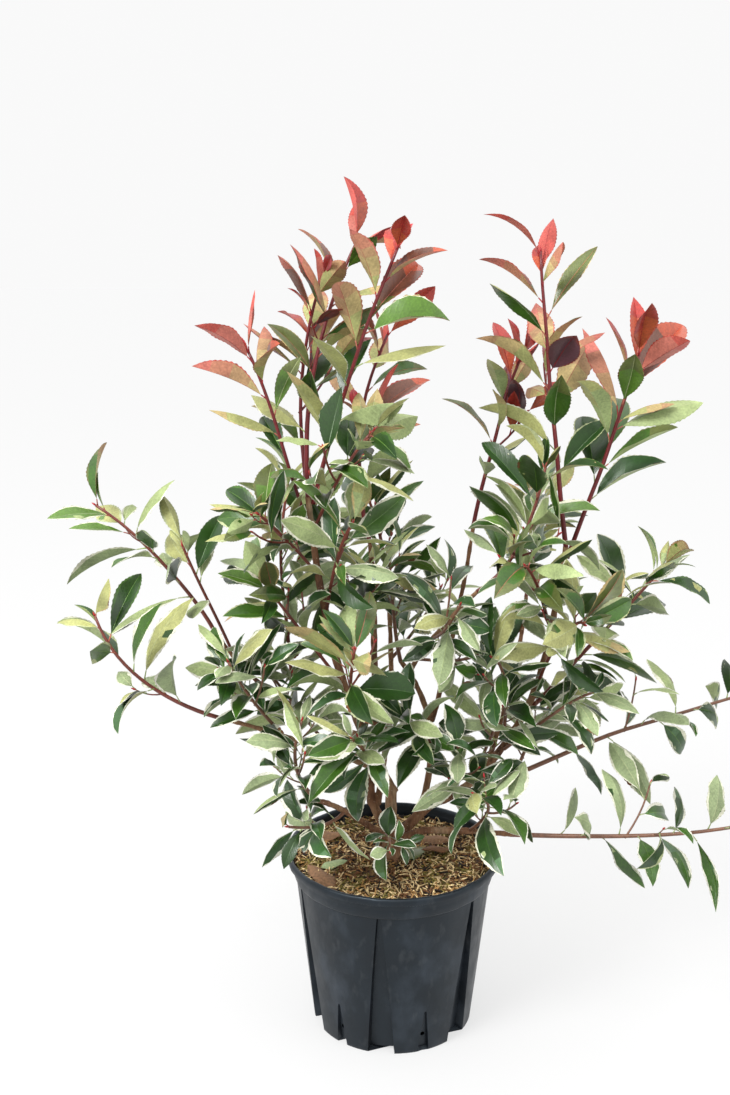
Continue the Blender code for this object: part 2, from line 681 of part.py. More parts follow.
def join_collection(target, operands, operation="UNION"):
    """Join or cut a solid with every solid of a collection, which are then removed."""
    for solver in ("EXACT", "MANIFOLD"):
        modifier = target.modifiers.new("join", "BOOLEAN")
        modifier.operation = operation
        modifier.operand_type = "COLLECTION"
        modifier.collection = operands
        modifier.solver = solver
        depsgraph = bpy.context.evaluated_depsgraph_get()
        depsgraph.update()
        joined = bpy.data.meshes.new_from_object(target.evaluated_get(depsgraph))
        target.modifiers.clear()
        if keep_body(joined):
            break
    old = target.data
    target.data = joined
    bpy.data.meshes.remove(old)
    for operand in list(operands.objects):
        bpy.data.objects.remove(operand)


def keep_body(mesh):
    """Drop the loose scraps and sealed hollows of a mesh; True where what stays is closed."""
    bm = bmesh.new()
    bm.from_mesh(mesh)
    bodies = []
    unseen = set(bm.faces)
    while unseen:
        front = [unseen.pop()]
        body = []
        while front:
            face = front.pop()
            body.append(face)
            near = {other for edge in face.edges for other in edge.link_faces} & unseen
            unseen -= near
            front += near
        bodies.append(body)
    bodies.sort(key=len)
    scraps = [face for body in bodies[:-1] for face in body]
    bmesh.ops.delete(bm, geom=scraps, context="FACES")
    bmesh.ops.dissolve_limit(bm, angle_limit=FLAT_ANGLE, verts=bm.verts, edges=bm.edges)
    bmesh.ops.triangulate(bm, faces=bm.faces)
    closed = all(edge.is_manifold for edge in bm.edges)
    bm.to_mesh(mesh)
    bm.free()
    return closed


# Plant

def make_trunk(home, operands):
    """The trunk: a flared foot cut flat at the soil, parting into its arms."""
    points = [Vector((0.0, 0.0, TRUNK_FOOT + height)) for height, _ in FLARE]
    foot = Run(points, [radius for _, radius in FLARE])
    trunk = mesh_object("trunk", loft(TRUNK_SIDES, cross_places(foot)), home)
    runs = {}
    for name, arm in ARMS.items():
        runs[name] = curved_run(
            ARM_FOOT, Vector(arm.via), Vector(arm.tip), arm.thick, arm.thin, BOUGH_POINTS
        )
        mesh_object(name, loft(BOUGH_SIDES, cross_places(runs[name])), operands)
    join_collection(trunk, operands)
    return trunk, runs


def solid_tree(made):
    """A search tree of an object's mesh."""
    bm = bmesh.new()
    bm.from_mesh(made.data)
    tree = BVHTree.FromBMesh(bm)
    bm.free()
    return tree


def build():
    """Make every sub-part in the collection of the whole plant."""
    for old in list(bpy.data.objects):
        bpy.data.objects.remove(old, do_unlink=True)
    home = bpy.data.collections.new("photinia_in_pot")
    cutters = bpy.data.collections.new("cutters")
    operands = bpy.data.collections.new("joined_pieces")
    for collection in (home, cutters, operands):
        bpy.context.scene.collection.children.link(collection)
    bark = material("bark", BARK_BROWN, 0.75)
    foliage = {stage: material("leaves_" + stage, LEAF_COLOURS[stage], 0.45) for stage in LEAF_COLOURS}

    pot = make_pot(home, cutters)
    pot.data.materials.append(material("pot_plastic", PLASTIC_BLACK, 0.4))
    soil = make_soil(home)
    soil.data.materials.append(material("soil", SOIL_BROWN, 0.95))

    trunk, runs = make_trunk(home, operands)
    trunk.data.materials.append(bark)
    trunk_tree = solid_tree(trunk)
    trees = {name: trunk_tree for name in ARMS}
    crowd = Crowd()
    trunk_shell = bmesh.new()
    trunk_shell.from_mesh(trunk.data)
    crowd.add(trunk_shell, "trunk")
    for name, bough in BOUGHS.items():
        start = on_run(runs[bough.host], bough.along)[0]
        runs[name] = seated_run(
            start, Vector(bough.via), Vector(bough.tip), bough.thick, bough.thin, BOUGH_POINTS,
            BOUGH_SIDES, trees[bough.host],
        )
        made = mesh_object(name, loft(BOUGH_SIDES, cross_places(runs[name])), home)
        made.data.materials.append(bark)
        trees[name] = solid_tree(made)
        crowd.add(loft(BOUGH_SIDES, cross_places(runs[name])), name)

    stems = {name: grow_stem(name, shoot, runs, trees, crowd) for name, shoot in SHOOTS.items()}
    for place, (name, shoot) in enumerate(SHOOTS.items()):
        twigs, leaves = dress_stem(name, stems[name], shoot, crowd, SEED + place)
        made = mesh_object(name, loft(TWIG_SIDES, cross_places(stems[name])), home)
        for twig in twigs:
            mesh_object(name + "_twig", loft(TWIG_SIDES, cross_places(twig)), operands)
        for leaf in leaves:
            mesh_object(name + "_leaf", leaf_solid(leaf), operands)
        join_collection(made, operands)
        made.data.materials.append(foliage[shoot.stage])


build()
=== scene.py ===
"""A variegated photinia in its black nursery pot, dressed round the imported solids.

The pot stands on z = 0 with the middle of its base at the origin, and -Y is the front. Every leafy
shoot grows from the same named places by the same seeded rule as its solid, and then goes on to
finer twigs, small leaves and buds. Bark, pot and litter each have a section of their own.
"""

import math
import random
from collections import namedtuple

import bmesh
import bpy
from mathutils import Matrix, Vector, noise
from mathutils.bvhtree import BVHTree


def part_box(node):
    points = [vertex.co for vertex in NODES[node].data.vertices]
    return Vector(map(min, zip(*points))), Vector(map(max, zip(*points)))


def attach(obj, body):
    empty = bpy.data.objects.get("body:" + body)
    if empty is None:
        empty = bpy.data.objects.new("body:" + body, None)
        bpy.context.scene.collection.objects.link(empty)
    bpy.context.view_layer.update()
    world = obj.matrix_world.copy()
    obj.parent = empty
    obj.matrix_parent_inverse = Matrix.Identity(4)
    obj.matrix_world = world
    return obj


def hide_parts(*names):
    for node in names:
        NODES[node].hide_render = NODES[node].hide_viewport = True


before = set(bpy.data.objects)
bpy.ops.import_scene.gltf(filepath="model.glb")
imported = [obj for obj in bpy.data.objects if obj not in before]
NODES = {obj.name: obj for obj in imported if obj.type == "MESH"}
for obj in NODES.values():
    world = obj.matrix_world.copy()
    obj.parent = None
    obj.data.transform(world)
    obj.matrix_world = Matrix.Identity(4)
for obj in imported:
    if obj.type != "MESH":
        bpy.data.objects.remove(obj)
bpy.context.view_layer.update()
BODY = "root"
UP = Vector((0.0, 0.0, 1.0))

# Clear distances of the solids
GAP = 0.0003
STEP = 0.0001
MOST_STEPS = 600
LEAF_MARGIN = 0.0006

# Pot
SECTORS = 6
FLUTE_TURN = math.radians(-99.0)
BASE_RADIUS = 0.097
COLLAR_Z = 0.188
BODY_TOP_RADIUS = 0.1175
WALL = 0.0022
FLUTE_HALF_ANGLE = math.radians(9.0)
FLUTE_DEPTH = 0.0105
NOTCH_HALF_ANGLE = math.radians(3.8)
NOTCH_DEPTH = 0.006
NOTCH_TOP = 0.056
SIDE_ANGLE = math.radians(0.5)
APEX_SHARE = 0.08
FIRST_DEPTH = 0.5
# Where the columns of the plain wall stand between a flute and a notch
LAND_PARTS = (0.25, 0.5, 0.75)
LIP_RADIUS = 0.1295
LIP_WIDTH = 0.016
RIM_TOP = 0.219
DRAIN_RADIUS = 0.0028
DRAIN_SIDES = 16
DRAIN_DEPTH = 0.03
DRAIN_Z = 0.022
DRAIN_SHARE = 0.5

# Soil and trunk
SOIL_TOP = 0.205
ARM_FOOT = Vector((0.0, 0.0, 0.222))

# Boughs and shoots
BOUGH_SIDES = 6
TWIG_SIDES = 3
BOUGH_POINTS = 7
SHOOT_POINTS = 6
TWIG_POINTS = 3
SHOOT_THIN = 0.0016
TWIG_RADII = (0.0017, 0.0014)
TWIG_LEAVES = 3
TWIG_LEAF_SHARE = 0.86
TWIG_LENGTHS = (0.75, 1.0)
TWIG_REST = 1.5
TWIG_FORWARD = 0.6
TWIG_OUT = 0.8
TWIG_LIFT = 0.25
TWIG_TURN_UP = 0.45

# The rule of growth, one seed for the whole plant and for the noise that bends its stems
SEED = 102
noise.seed_set(SEED)
GOLDEN_ANGLE = math.radians(137.5)
TRIES = 9
TRY_SWING = math.radians(24.0)
ANGLE_PLAY = 0.2
LAST_LEAF = 0.985
LEAF_CROWDING = 0.9
YOUNG_FROM = 0.72
YOUNG_CLOSER = 0.40
YOUNG_SMALLER = 0.18
SPREAD_PLAY = (-9.0, 11.0)
LIFT_PLAY = 0.12
FACE_ALONG = 0.55
FACE_UP = 0.85
SIZE_PLAY = (0.88, 1.20)
WIDTH_PLAY = (0.90, 1.10)
ARCH_PLAY = (0.6, 1.35)
LEAF_ABOVE_LIP = 0.006
LEAF_ABOVE_SOIL = 0.010
LEAF_ABOVE_GROUND = 0.03

# The solids' leaf: its stalk's radius, its stations with the share of the midrib and of the width
# there, none for the stalk, and its keel and its width as shares of its length
STALK = 0.0006
LEAF_STATIONS = ((0.0, None), (0.34, 0.92), (0.70, 0.92))
LEAF_KEEL = 0.012
LEAF_SPREAD = 0.41
# Half a side of a triangle whose corners lie at a radius of 1
HALF_SIDE = math.sin(math.radians(60.0))

# The rings of the pot's skin: height and radius from the collar over the lip and down inside, the
# heights in the wall, and the foot, whose flutes and notches rise into arches
COLLAR_AND_LIP = (
    (0.1886, 0.1182), (0.1896, 0.1198), (0.1912, 0.1206), (0.1990, 0.1214), (0.2068, 0.1222),
    (0.2088, 0.1225), (0.2096, 0.1234), (0.2098, 0.1276), (0.2106, 0.1289), (0.2130, 0.1295),
    (0.2155, LIP_RADIUS), (0.2175, 0.1290), (0.2187, 0.1278), (RIM_TOP, 0.1264), (0.2188, 0.1251),
    (0.2178, 0.1241), (0.2150, 0.1236), (0.2050, 0.1222), (0.1960, 0.1208), (0.1905, 0.1190),
)
BODY_HEIGHTS = (
    0.004, 0.008, 0.014, 0.024, 0.038, NOTCH_TOP - 0.0015, NOTCH_TOP, 0.075, 0.100, 0.125, 0.150, 0.170,
    0.182, COLLAR_Z - 0.0012, COLLAR_Z,
)
FLOOR_RADII = (0.0860, 0.0925)
FLOOR_LIFT = 0.0055
FOOT_ARCH = 0.0045
FOOT_INNER = BASE_RADIUS - WALL - 0.0006
FOOT_OUTER = BASE_RADIUS - 0.0008
FOOT_EDGE_Z = 0.0012
POT_SHARP = math.radians(38.0)

# Height and radius of the trunk, from inside the soil to its fork
TRUNK_FLARE = (
    (0.2035, 0.0205), (0.2065, 0.0188), (0.2095, 0.0165), (0.2175, 0.0138), (0.2310, 0.0125),
    (0.2450, 0.0080),
)
STEM_FINISHES = {"top": "wine_stem", "middle": "red_stem", "low": "brown_stem"}

# Camera, floor and light
LENS = 46.03
SENSOR = 36.0
CAMERA_PLACE = (-0.034, -1.547, 1.0)
CAMERA_DIP = 14.7
FLOOR_HALF = 12.0
FLOOR_TONE = (0.2, 0.2, 0.2, 1.0)
FLOOR_ROUGHNESS = 0.6
FLOOR_GLOW = 0.632
WHITE = (1.0, 1.0, 1.0, 1.0)
# The height at which the sky begins to brighten, its top, and the strength at each
SKY_RISE = (0.15, 1.0, 0.95, 2.0)
AIM = Vector((0.0, 0.0, 0.45))
# Each light's name, place, width and power
LIGHTS = (
    ("key_light", (-1.2, -1.3, 2.3), 1.0, 62.0),
    ("fill_light", (1.8, -1.0, 1.4), 1.8, 9.0),
)

# Finer growth that the solids leave out, each mass's in its own box with some room round it
ROOM = 0.012
FINE_RADII = (0.0012, 0.0008)
METRE = 1.0
FINE_LENGTHS = (0.022, 0.042)
FINE_PLAY = (0.6, 1.4)
TUFT_START = 0.90
TUFT_UPRIGHT = 0.7
BUD_LENGTH = 0.0055
BUD_RADIUS = 0.0011
# A bud's rings, as shares of its length and of its radius
BUD_RINGS = ((-0.1, 0.8), (0.3, 1.2), (0.7, 0.8), (1.0, 0.15))
STEM_SUNK = 0.003
# A fine stem's points, sides and share of its solid's thickness, then a fine twig's
ROUND_STEM = (16, 9, 1.0)
ROUND_TWIG = (6, 6, 0.82)
# How far stems and leaves drift from their smooth curves, from one height on and fully at the next
DRIFT_SCALE = 9.0
DRIFT = 0.0035
DRIFT_FROM = 0.215
DRIFT_FULL = 0.30

# The fine leaf: rows along it, columns across it, teeth on its rim, and its zones from the margin in
LEAF_ROWS = (0.0, 0.10, 0.22, 0.36, 0.50, 0.64, 0.77, 0.89, 1.0)
LEAF_COLUMNS = (-1.0, -0.8, -0.05, 0.05, 0.8, 1.0)
ROWS = len(LEAF_ROWS) - 1
RIM_CUTS = 3
TOOTH = 0.036
MARGIN, BLADE, RIB = range(3)
ZONES = 3
RIB_REACH = 0.5
BLADE_REACH = 0.9
MARGIN_EASE = 0.4
LEAF_HALF_THICK = 0.00022
RIB_HALF = 0.00042
RIB_TAPER = 0.7
RIB_MOST = 0.5
RIB_RAISE = 0.00045
RIB_GROOVE = 0.00025
FAR_SIDE_PHASE = 0.3
# The ranges that a leaf's form is drawn from
OUTLINE_FOOT = (1.0, 1.35)
OUTLINE_TIP = (0.85, 1.20)
DROOP = (-0.05, 0.12)
CUP = (0.08, 0.32)
WAVE = (0.03, 0.11)
WAVES = (1.2, 2.4)
TWIST = (-20.0, 20.0)
SWEEP = (-0.06, 0.06)
# Where along a longer leaf it is seen that it keeps to its room
WATCHED_PARTS = (0.6, 1.0)
STALK_SHARE = (0.09, 0.13)
STALK_SPOTS = (0.0, 0.5, 1.04)
STALK_RADII = (0.0012, 0.0008, 0.0007)
STALK_SIDES = 5

# Bark
BARK_VOXEL = 0.0012
BARK_SIDES = 12
BARK_POINTS = 18
BARK_SMOOTHINGS = 3
# How many radii behind its foot a bough starts, inside the limb that carries it
BARK_SUNK = 1.5
RIDGE_SCALES = (260.0, 260.0, 90.0)
RIDGE_HEIGHT = 0.00045
KNOT_SCALE = 70.0
KNOT_HEIGHT = 0.0006

# Soil: its side, its heap round the trunk, and its relief with scale, height and layer of the noise
SOIL_EDGE = 0.1206
SOIL_STEPS = 96
SOIL_RINGS = 22
SOIL_FOOT = FLOOR_LIFT + 0.004
SOIL_SIDE = ((0.0, SOIL_FOOT), (0.082, SOIL_FOOT), (0.107, COLLAR_Z), (0.116, SOIL_TOP - 0.008))
SOIL_SUNK = 0.001
HEAP_HEIGHT = 0.004
HEAP_REACH = 0.045
SOIL_RELIEF = ((45.0, 0.0022, 2.0), (190.0, 0.0009, 7.0))

# Litter: fibre slivers, crumbs and the soil's moss
LITTER_COUNT = 2900
LITTER_REACH = SOIL_EDGE - 0.004
SLIVER_LENGTHS = (0.005, 0.016)
SLIVER_WIDTHS = (0.0008, 0.0024)
SLIVER_HEIGHTS = (0.0004, 0.0010)
SLIVER_RISE = (0.0002, 0.0035)
SLIVER_TIP = 22.0
SLIVER_ROLL = (-1.0, 1.0)
SLIVER_END = 0.4
SLIVER_BOW = 0.9
MOSS_SCALE = 28.0
MOSS_LAYER = 4.0
MOSS_FROM = 0.12
MOSSY = ("moss", "moss", "straw", "tan")
FIBROUS = ("tan", "straw", "straw", "brown", "brown", "dark_brown")
CRUMB_COUNT = 420
CRUMB_REACH = SOIL_EDGE - 0.005
CRUMB_RADII = (0.0012, 0.0030)
CRUMB_PLAY = (0.75, 1.25)
CRUMB_RISE = 0.0008
CRUMB_TONES = ("brown", "dark_brown", "dark_brown", "moss")

Arm = namedtuple("Arm", "via tip thick thin")
Bough = namedtuple("Bough", "host along via tip thick thin")
Shoot = namedtuple("Shoot", "host along via tip thick leaves length stage twigs")
Run = namedtuple("Run", "points radii curve")
Leaf = namedtuple("Leaf", "root forward normal length width arch")
Stage = namedtuple("Stage", "bare spread lift roll arch")
Form = namedtuple("Form", "stalk fold cup wave waves phase twist sweep droop width foot tip face")

# Old leaves on the soil: their foot's place, the way they point in degrees, length and tone
FALLEN_LEAVES = (
    (-0.106, -0.028, -50.0, 0.072, "dry_leaf"),
    (-0.054, 0.050, 184.0, 0.048, "dry_leaf"),
    (0.078, 0.034, 168.0, 0.062, "dry_leaf"),
    (0.030, 0.000, 24.0, 0.050, "brown"),
    (0.008, -0.030, 66.0, 0.074, "olive"),
    (-0.052, -0.022, 196.0, 0.036, "sage"),
)
FALLEN_LIFT = 0.0085
FALLEN_RISE = 0.10
FALLEN_ARCH = 0.5
FALLEN_FORM = Form(
    stalk=0.08, fold=0.25, cup=0.5, wave=0.16, waves=1.6, phase=0.0, twist=0.3, sweep=0.04, droop=0.0,
    width=1.0, foot=0.9, tip=0.75, face=1.0,
)

ARMS = {
    "arm_left": Arm((-0.002, -0.004, 0.262), (-0.001, -0.006, 0.300), 0.0080, 0.0066),
    "arm_right": Arm((0.022, 0.012, 0.246), (0.047, 0.020, 0.268), 0.0074, 0.0060),
    "arm_back": Arm((-0.012, 0.010, 0.245), (-0.026, 0.020, 0.272), 0.0066, 0.0054),
    "arm_front": Arm((-0.010, -0.012, 0.238), (-0.024, -0.024, 0.256), 0.0060, 0.0046),
    "arm_low": Arm((0.018, -0.008, 0.238), (0.038, -0.014, 0.249), 0.0060, 0.0046),
}

# A bough or shoot: its host, the share along it, the points it passes and ends at, its radii or
# its foot's radius, and for a shoot its leaves, their length, its stage and its side twigs
BOUGHS = {
    "left_stem": Bough(
        "arm_left", 1.0, (-0.064, -0.014, 0.455), (-0.097, -0.02, 0.659), 0.0064, 0.0036,
    ),
    "back_left_stem": Bough(
        "arm_back", 1.0, (-0.022, 0.052, 0.43), (-0.027, 0.08, 0.58), 0.0052, 0.0032,
    ),
    "middle_stem": Bough(
        "arm_right", 0.62, (0.044, 0.022, 0.355), (0.01, 0.034, 0.446), 0.0046, 0.0032,
    ),
    "right_stem": Bough(
        "arm_right", 1.0, (0.15, 0.018, 0.372), (0.196, 0.0, 0.598), 0.0058, 0.0034,
    ),
    "middle_right_stem": Bough(
        "middle_stem", 0.9, (0.05, 0.0, 0.492), (0.095, -0.02, 0.548), 0.0032, 0.0026,
    ),
    "inner_right_stem": Bough(
        "middle_stem", 0.5, (0.072, 0.046, 0.48), (0.094, 0.062, 0.605), 0.0036, 0.0026,
    ),
    "right_low_stem": Bough(
        "right_stem", 0.12, (0.118, 0.03, 0.298), (0.168, 0.039, 0.305), 0.0042, 0.0032,
    ),
    "right_lowest_stem": Bough(
        "arm_low", 1.0, (0.088, -0.021, 0.2515), (0.14, -0.029, 0.25), 0.0044, 0.0032,
    ),
    "left_arch_stem": Bough(
        "back_left_stem", 0.22, (-0.135, 0.044, 0.392), (-0.215, 0.05, 0.48), 0.004, 0.0026,
    ),
    "left_low_stem": Bough(
        "left_stem", 0.06, (-0.11, -0.034, 0.372), (-0.2, -0.05, 0.405), 0.0038, 0.0026,
    ),
    "left_front_stem": Bough(
        "arm_front", 1.0, (-0.06, -0.06, 0.296), (-0.088, -0.088, 0.32), 0.0042, 0.0028,
    ),
    "back_middle_stem": Bough(
        "arm_back", 0.75, (-0.002, 0.082, 0.4), (-0.004, 0.12, 0.5), 0.0044, 0.0028,
    ),
    "back_right_stem": Bough(
        "right_stem", 0.3, (0.15, 0.08, 0.42), (0.165, 0.12, 0.5), 0.0036, 0.0026,
    ),
}

# How the leaves stand on the crown's top, middle and low shoots: the bare share of the stem, the
# angle to it, the lift, the most that a leaf rolls about its midrib (degrees) and how far it bends
STAGES = {
    "top": Stage(0.14, 40.0, 0.10, 62.0, 0.55),
    "middle": Stage(0.14, 54.0, 0.22, 72.0, 0.75),
    "low": Stage(0.08, 60.0, 0.26, 78.0, 0.85),
}

SHOOTS = {
    "left_top_middle": Shoot(
        "left_stem", 1.0, (-0.088, -0.004, 0.805), (-0.042, 0.018, 0.938), 0.003, 12, 0.077, "top", 1,
    ),
    "left_top_right": Shoot(
        "left_stem", 0.95, (-0.052, -0.036, 0.79), (-0.001, -0.048, 0.932), 0.0028, 12, 0.077, "top", 0,
    ),
    "left_top_back": Shoot(
        "left_stem", 0.9, (-0.104, 0.012, 0.77), (-0.08, 0.006, 0.9), 0.0024, 9, 0.075, "top", 1,
    ),
    "left_top_outer": Shoot(
        "left_stem", 0.86, (-0.132, -0.036, 0.745), (-0.16, -0.036, 0.82), 0.0022, 8, 0.07, "top", 1,
    ),
    "back_left_top": Shoot(
        "back_left_stem", 1.0, (-0.04, 0.094, 0.7), (-0.01, 0.102, 0.825), 0.0028, 9, 0.072, "top", 1,
    ),
    "left_inner_back": Shoot(
        "left_arch_stem", 0.4, (-0.132, 0.056, 0.54), (-0.126, 0.074, 0.66), 0.0024, 9, 0.07, "middle", 1,
    ),
    "right_top_middle": Shoot(
        "right_stem", 1.0, (0.174, 0.014, 0.77), (0.16, 0.03, 0.925), 0.003, 13, 0.08, "top", 1,
    ),
    "right_top_outer": Shoot(
        "right_stem", 0.94, (0.238, -0.004, 0.71), (0.264, -0.014, 0.815), 0.0028, 13, 0.083, "top", 1,
    ),
    "inner_right_top": Shoot(
        "inner_right_stem", 1.0, (0.118, 0.062, 0.715), (0.146, 0.06, 0.805), 0.0026, 10, 0.07, "top", 1,
    ),
    "middle_right_top": Shoot(
        "middle_right_stem", 1.0, (0.14, -0.018, 0.6), (0.168, -0.008, 0.69), 0.0026, 9, 0.077, "middle", 1,
    ),
    "right_side": Shoot(
        "right_stem", 0.52, (0.245, 0.004, 0.494), (0.308, 0.0, 0.572), 0.0028, 12, 0.07, "middle", 2,
    ),
    "left_arch_tip": Shoot(
        "left_arch_stem", 1.0, (-0.27, 0.052, 0.56), (-0.352, 0.052, 0.63), 0.0026, 9, 0.076, "middle", 0,
    ),
    "left_arch_side": Shoot(
        "left_arch_stem", 0.82, (-0.226, 0.04, 0.535), (-0.246, 0.03, 0.588), 0.002, 5, 0.063, "middle", 0,
    ),
    "left_low_tip": Shoot(
        "left_low_stem", 1.0, (-0.282, -0.06, 0.452), (-0.333, -0.06, 0.532), 0.0026, 10, 0.074, "middle", 0,
    ),
    "left_low_side": Shoot(
        "left_low_stem", 0.55, (-0.162, -0.05, 0.428), (-0.186, -0.062, 0.478), 0.0022, 7, 0.063, "low", 1,
    ),
    "left_low_inner": Shoot(
        "left_low_stem", 0.25, (-0.118, -0.01, 0.41), (-0.16, 0.0, 0.465), 0.0022, 7, 0.063, "low", 1,
    ),
    "left_front_tip": Shoot(
        "left_front_stem", 1.0, (-0.112, -0.1, 0.368), (-0.104, -0.102, 0.425), 0.0026, 10, 0.063, "low", 1,
    ),
    "left_front_side": Shoot(
        "left_front_stem", 0.45, (-0.082, -0.092, 0.292), (-0.12, -0.112, 0.3), 0.0022, 6, 0.061, "low", 0,
    ),
    "left_side_high": Shoot(
        "left_stem", 0.78, (-0.122, -0.032, 0.612), (-0.15, -0.044, 0.645), 0.002, 6, 0.066, "middle", 1,
    ),
    "left_side_low": Shoot(
        "left_stem", 0.42, (-0.106, -0.004, 0.492), (-0.146, 0.002, 0.545), 0.0022, 8, 0.066, "middle", 1,
    ),
    "left_front_high": Shoot(
        "left_stem", 0.9, (-0.06, -0.056, 0.69), (-0.03, -0.066, 0.738), 0.002, 6, 0.07, "middle", 1,
    ),
    "left_front_middle": Shoot(
        "left_stem", 0.66, (-0.066, -0.052, 0.59), (-0.048, -0.08, 0.64), 0.0022, 8, 0.068, "middle", 1,
    ),
    "left_front_low": Shoot(
        "left_stem", 0.34, (-0.05, -0.072, 0.455), (-0.046, -0.112, 0.51), 0.0024, 10, 0.068, "middle", 1,
    ),
    "left_front_foot": Shoot(
        "left_stem", 0.12, (-0.03, -0.07, 0.37), (-0.05, -0.12, 0.412), 0.0024, 9, 0.063, "low", 1,
    ),
    "middle_high": Shoot(
        "left_stem", 0.52, (-0.032, -0.006, 0.535), (0.004, 0.0, 0.58), 0.0022, 7, 0.066, "middle", 1,
    ),
    "middle_top": Shoot(
        "middle_stem", 1.0, (0.0, 0.044, 0.505), (-0.006, 0.052, 0.56), 0.0026, 7, 0.063, "low", 1,
    ),
    "middle_front": Shoot(
        "middle_stem", 0.35, (0.026, -0.026, 0.376), (0.012, -0.064, 0.41), 0.0024, 9, 0.061, "low", 1,
    ),
    "middle_side": Shoot(
        "middle_right_stem", 0.4, (0.056, -0.032, 0.506), (0.07, -0.066, 0.545), 0.002, 6, 0.063, "low", 1,
    ),
    "middle_low": Shoot(
        "middle_right_stem", 0.15, (0.072, 0.0, 0.458), (0.098, -0.01, 0.47), 0.002, 6, 0.061, "low", 1,
    ),
    "right_front_high": Shoot(
        "right_stem", 0.8, (0.16, -0.044, 0.56), (0.142, -0.072, 0.592), 0.0022, 7, 0.066, "middle", 1,
    ),
    "right_front_middle": Shoot(
        "right_stem", 0.62, (0.192, -0.046, 0.508), (0.206, -0.088, 0.532), 0.0022, 7, 0.066, "middle", 1,
    ),
    "right_front_low": Shoot(
        "right_stem", 0.4, (0.126, -0.028, 0.44), (0.108, -0.056, 0.48), 0.0022, 8, 0.063, "low", 1,
    ),
    "right_inner_low": Shoot(
        "right_stem", 0.22, (0.118, -0.01, 0.372), (0.124, -0.03, 0.41), 0.0022, 8, 0.061, "low", 1,
    ),
    "right_inner_foot": Shoot(
        "right_stem", 0.1, (0.08, -0.018, 0.33), (0.072, -0.046, 0.368), 0.0022, 7, 0.06, "low", 1,
    ),
    "right_side_low": Shoot(
        "right_stem", 0.34, (0.188, -0.012, 0.398), (0.228, -0.03, 0.43), 0.0022, 8, 0.063, "low", 1,
    ),
    "right_low_tip": Shoot(
        "right_low_stem", 1.0, (0.312, 0.05, 0.362), (0.47, 0.05, 0.406), 0.003, 13, 0.073, "low", 1,
    ),
    "right_low_side": Shoot(
        "right_low_stem", 0.8, (0.178, 0.078, 0.342), (0.205, 0.108, 0.372), 0.0022, 6, 0.061, "low", 0,
    ),
    "right_lowest_tip": Shoot(
        "right_lowest_stem", 1.0, (0.3, -0.064, 0.268), (0.456, -0.096, 0.306), 0.003, 14, 0.074, "low", 1,
    ),
    "right_lowest_side": Shoot(
        "right_lowest_stem", 0.5, (0.108, -0.062, 0.298), (0.088, -0.09, 0.33), 0.0022, 6, 0.059, "low", 1,
    ),
    "front_foot": Shoot(
        "arm_front", 0.6, (-0.006, -0.058, 0.262), (-0.004, -0.096, 0.262), 0.0022, 6, 0.052, "low", 0,
    ),
    "back_middle_top": Shoot(
        "back_middle_stem", 1.0, (-0.016, 0.144, 0.575), (-0.036, 0.15, 0.63), 0.0026, 9, 0.068, "middle", 0,
    ),
    "back_middle_side": Shoot(
        "back_middle_stem", 0.6, (0.034, 0.12, 0.462), (0.062, 0.146, 0.505), 0.0022, 9, 0.066, "low", 0,
    ),
    "back_left_side": Shoot(
        "back_left_stem", 0.66, (-0.07, 0.11, 0.545), (-0.098, 0.138, 0.6), 0.0022, 9, 0.066, "middle", 0,
    ),
    "back_right_top": Shoot(
        "back_right_stem", 1.0, (0.176, 0.134, 0.56), (0.184, 0.14, 0.615), 0.0024, 8, 0.066, "middle", 0,
    ),
}

# Colours, from 0 to 255
TONES = {
    "deep_green": (38, 72, 20),
    "blue_green": (52, 91, 42),
    "green": (62, 101, 28),
    "grass_green": (94, 132, 46),
    "olive": (98, 108, 54),
    "russet": (124, 74, 54),
    "bronze": (100, 66, 58),
    "plum": (98, 54, 68),
    "wine": (124, 46, 48),
    "red": (180, 60, 52),
    "orange_red": (196, 88, 56),
    "crimson": (194, 56, 64),
    "sage": (156, 172, 126),
    "pale_green": (168, 184, 126),
    "yellow_green": (180, 182, 118),
    "yellow_blush": (200, 178, 124),
    "blush": (190, 152, 112),
    "blush_pink": (196, 132, 106),
    "pink": (206, 120, 106),
    "coral": (208, 94, 84),
    "cream": (244, 243, 226),
    "pale_cream": (234, 234, 210),
    "lime": (188, 196, 148),
    "grey_green": (84, 120, 78),
    "pale_rib": (170, 188, 124),
    "rose_rib": (180, 104, 88),
    "red_rib": (160, 40, 48),
    "brown_spot": (120, 78, 44),
    "wine_stem": (116, 26, 32),
    "red_stem": (124, 58, 46),
    "brown_stem": (130, 88, 66),
    "bud_red": (186, 34, 44),
    "straw": (246, 216, 160),
    "tan": (190, 144, 86),
    "brown": (124, 82, 46),
    "dark_brown": (38, 26, 18),
    "moss": (134, 120, 54),
    "dry_leaf": (146, 108, 76),
}
# The tones are those of the lit plant, so a shader takes this share of them
LIT_SHARE = 0.70
STEM_TONES = ("wine_stem", "red_stem", "brown_stem", "bud_red")
LITTER_TONES = ("straw", "tan", "brown", "dark_brown", "moss", "dry_leaf")
GLOSSY_TONES = (
    "deep_green", "blue_green", "green", "grass_green", "olive", "russet", "bronze", "plum", "wine", "red",
    "orange_red", "crimson", "grey_green",
)
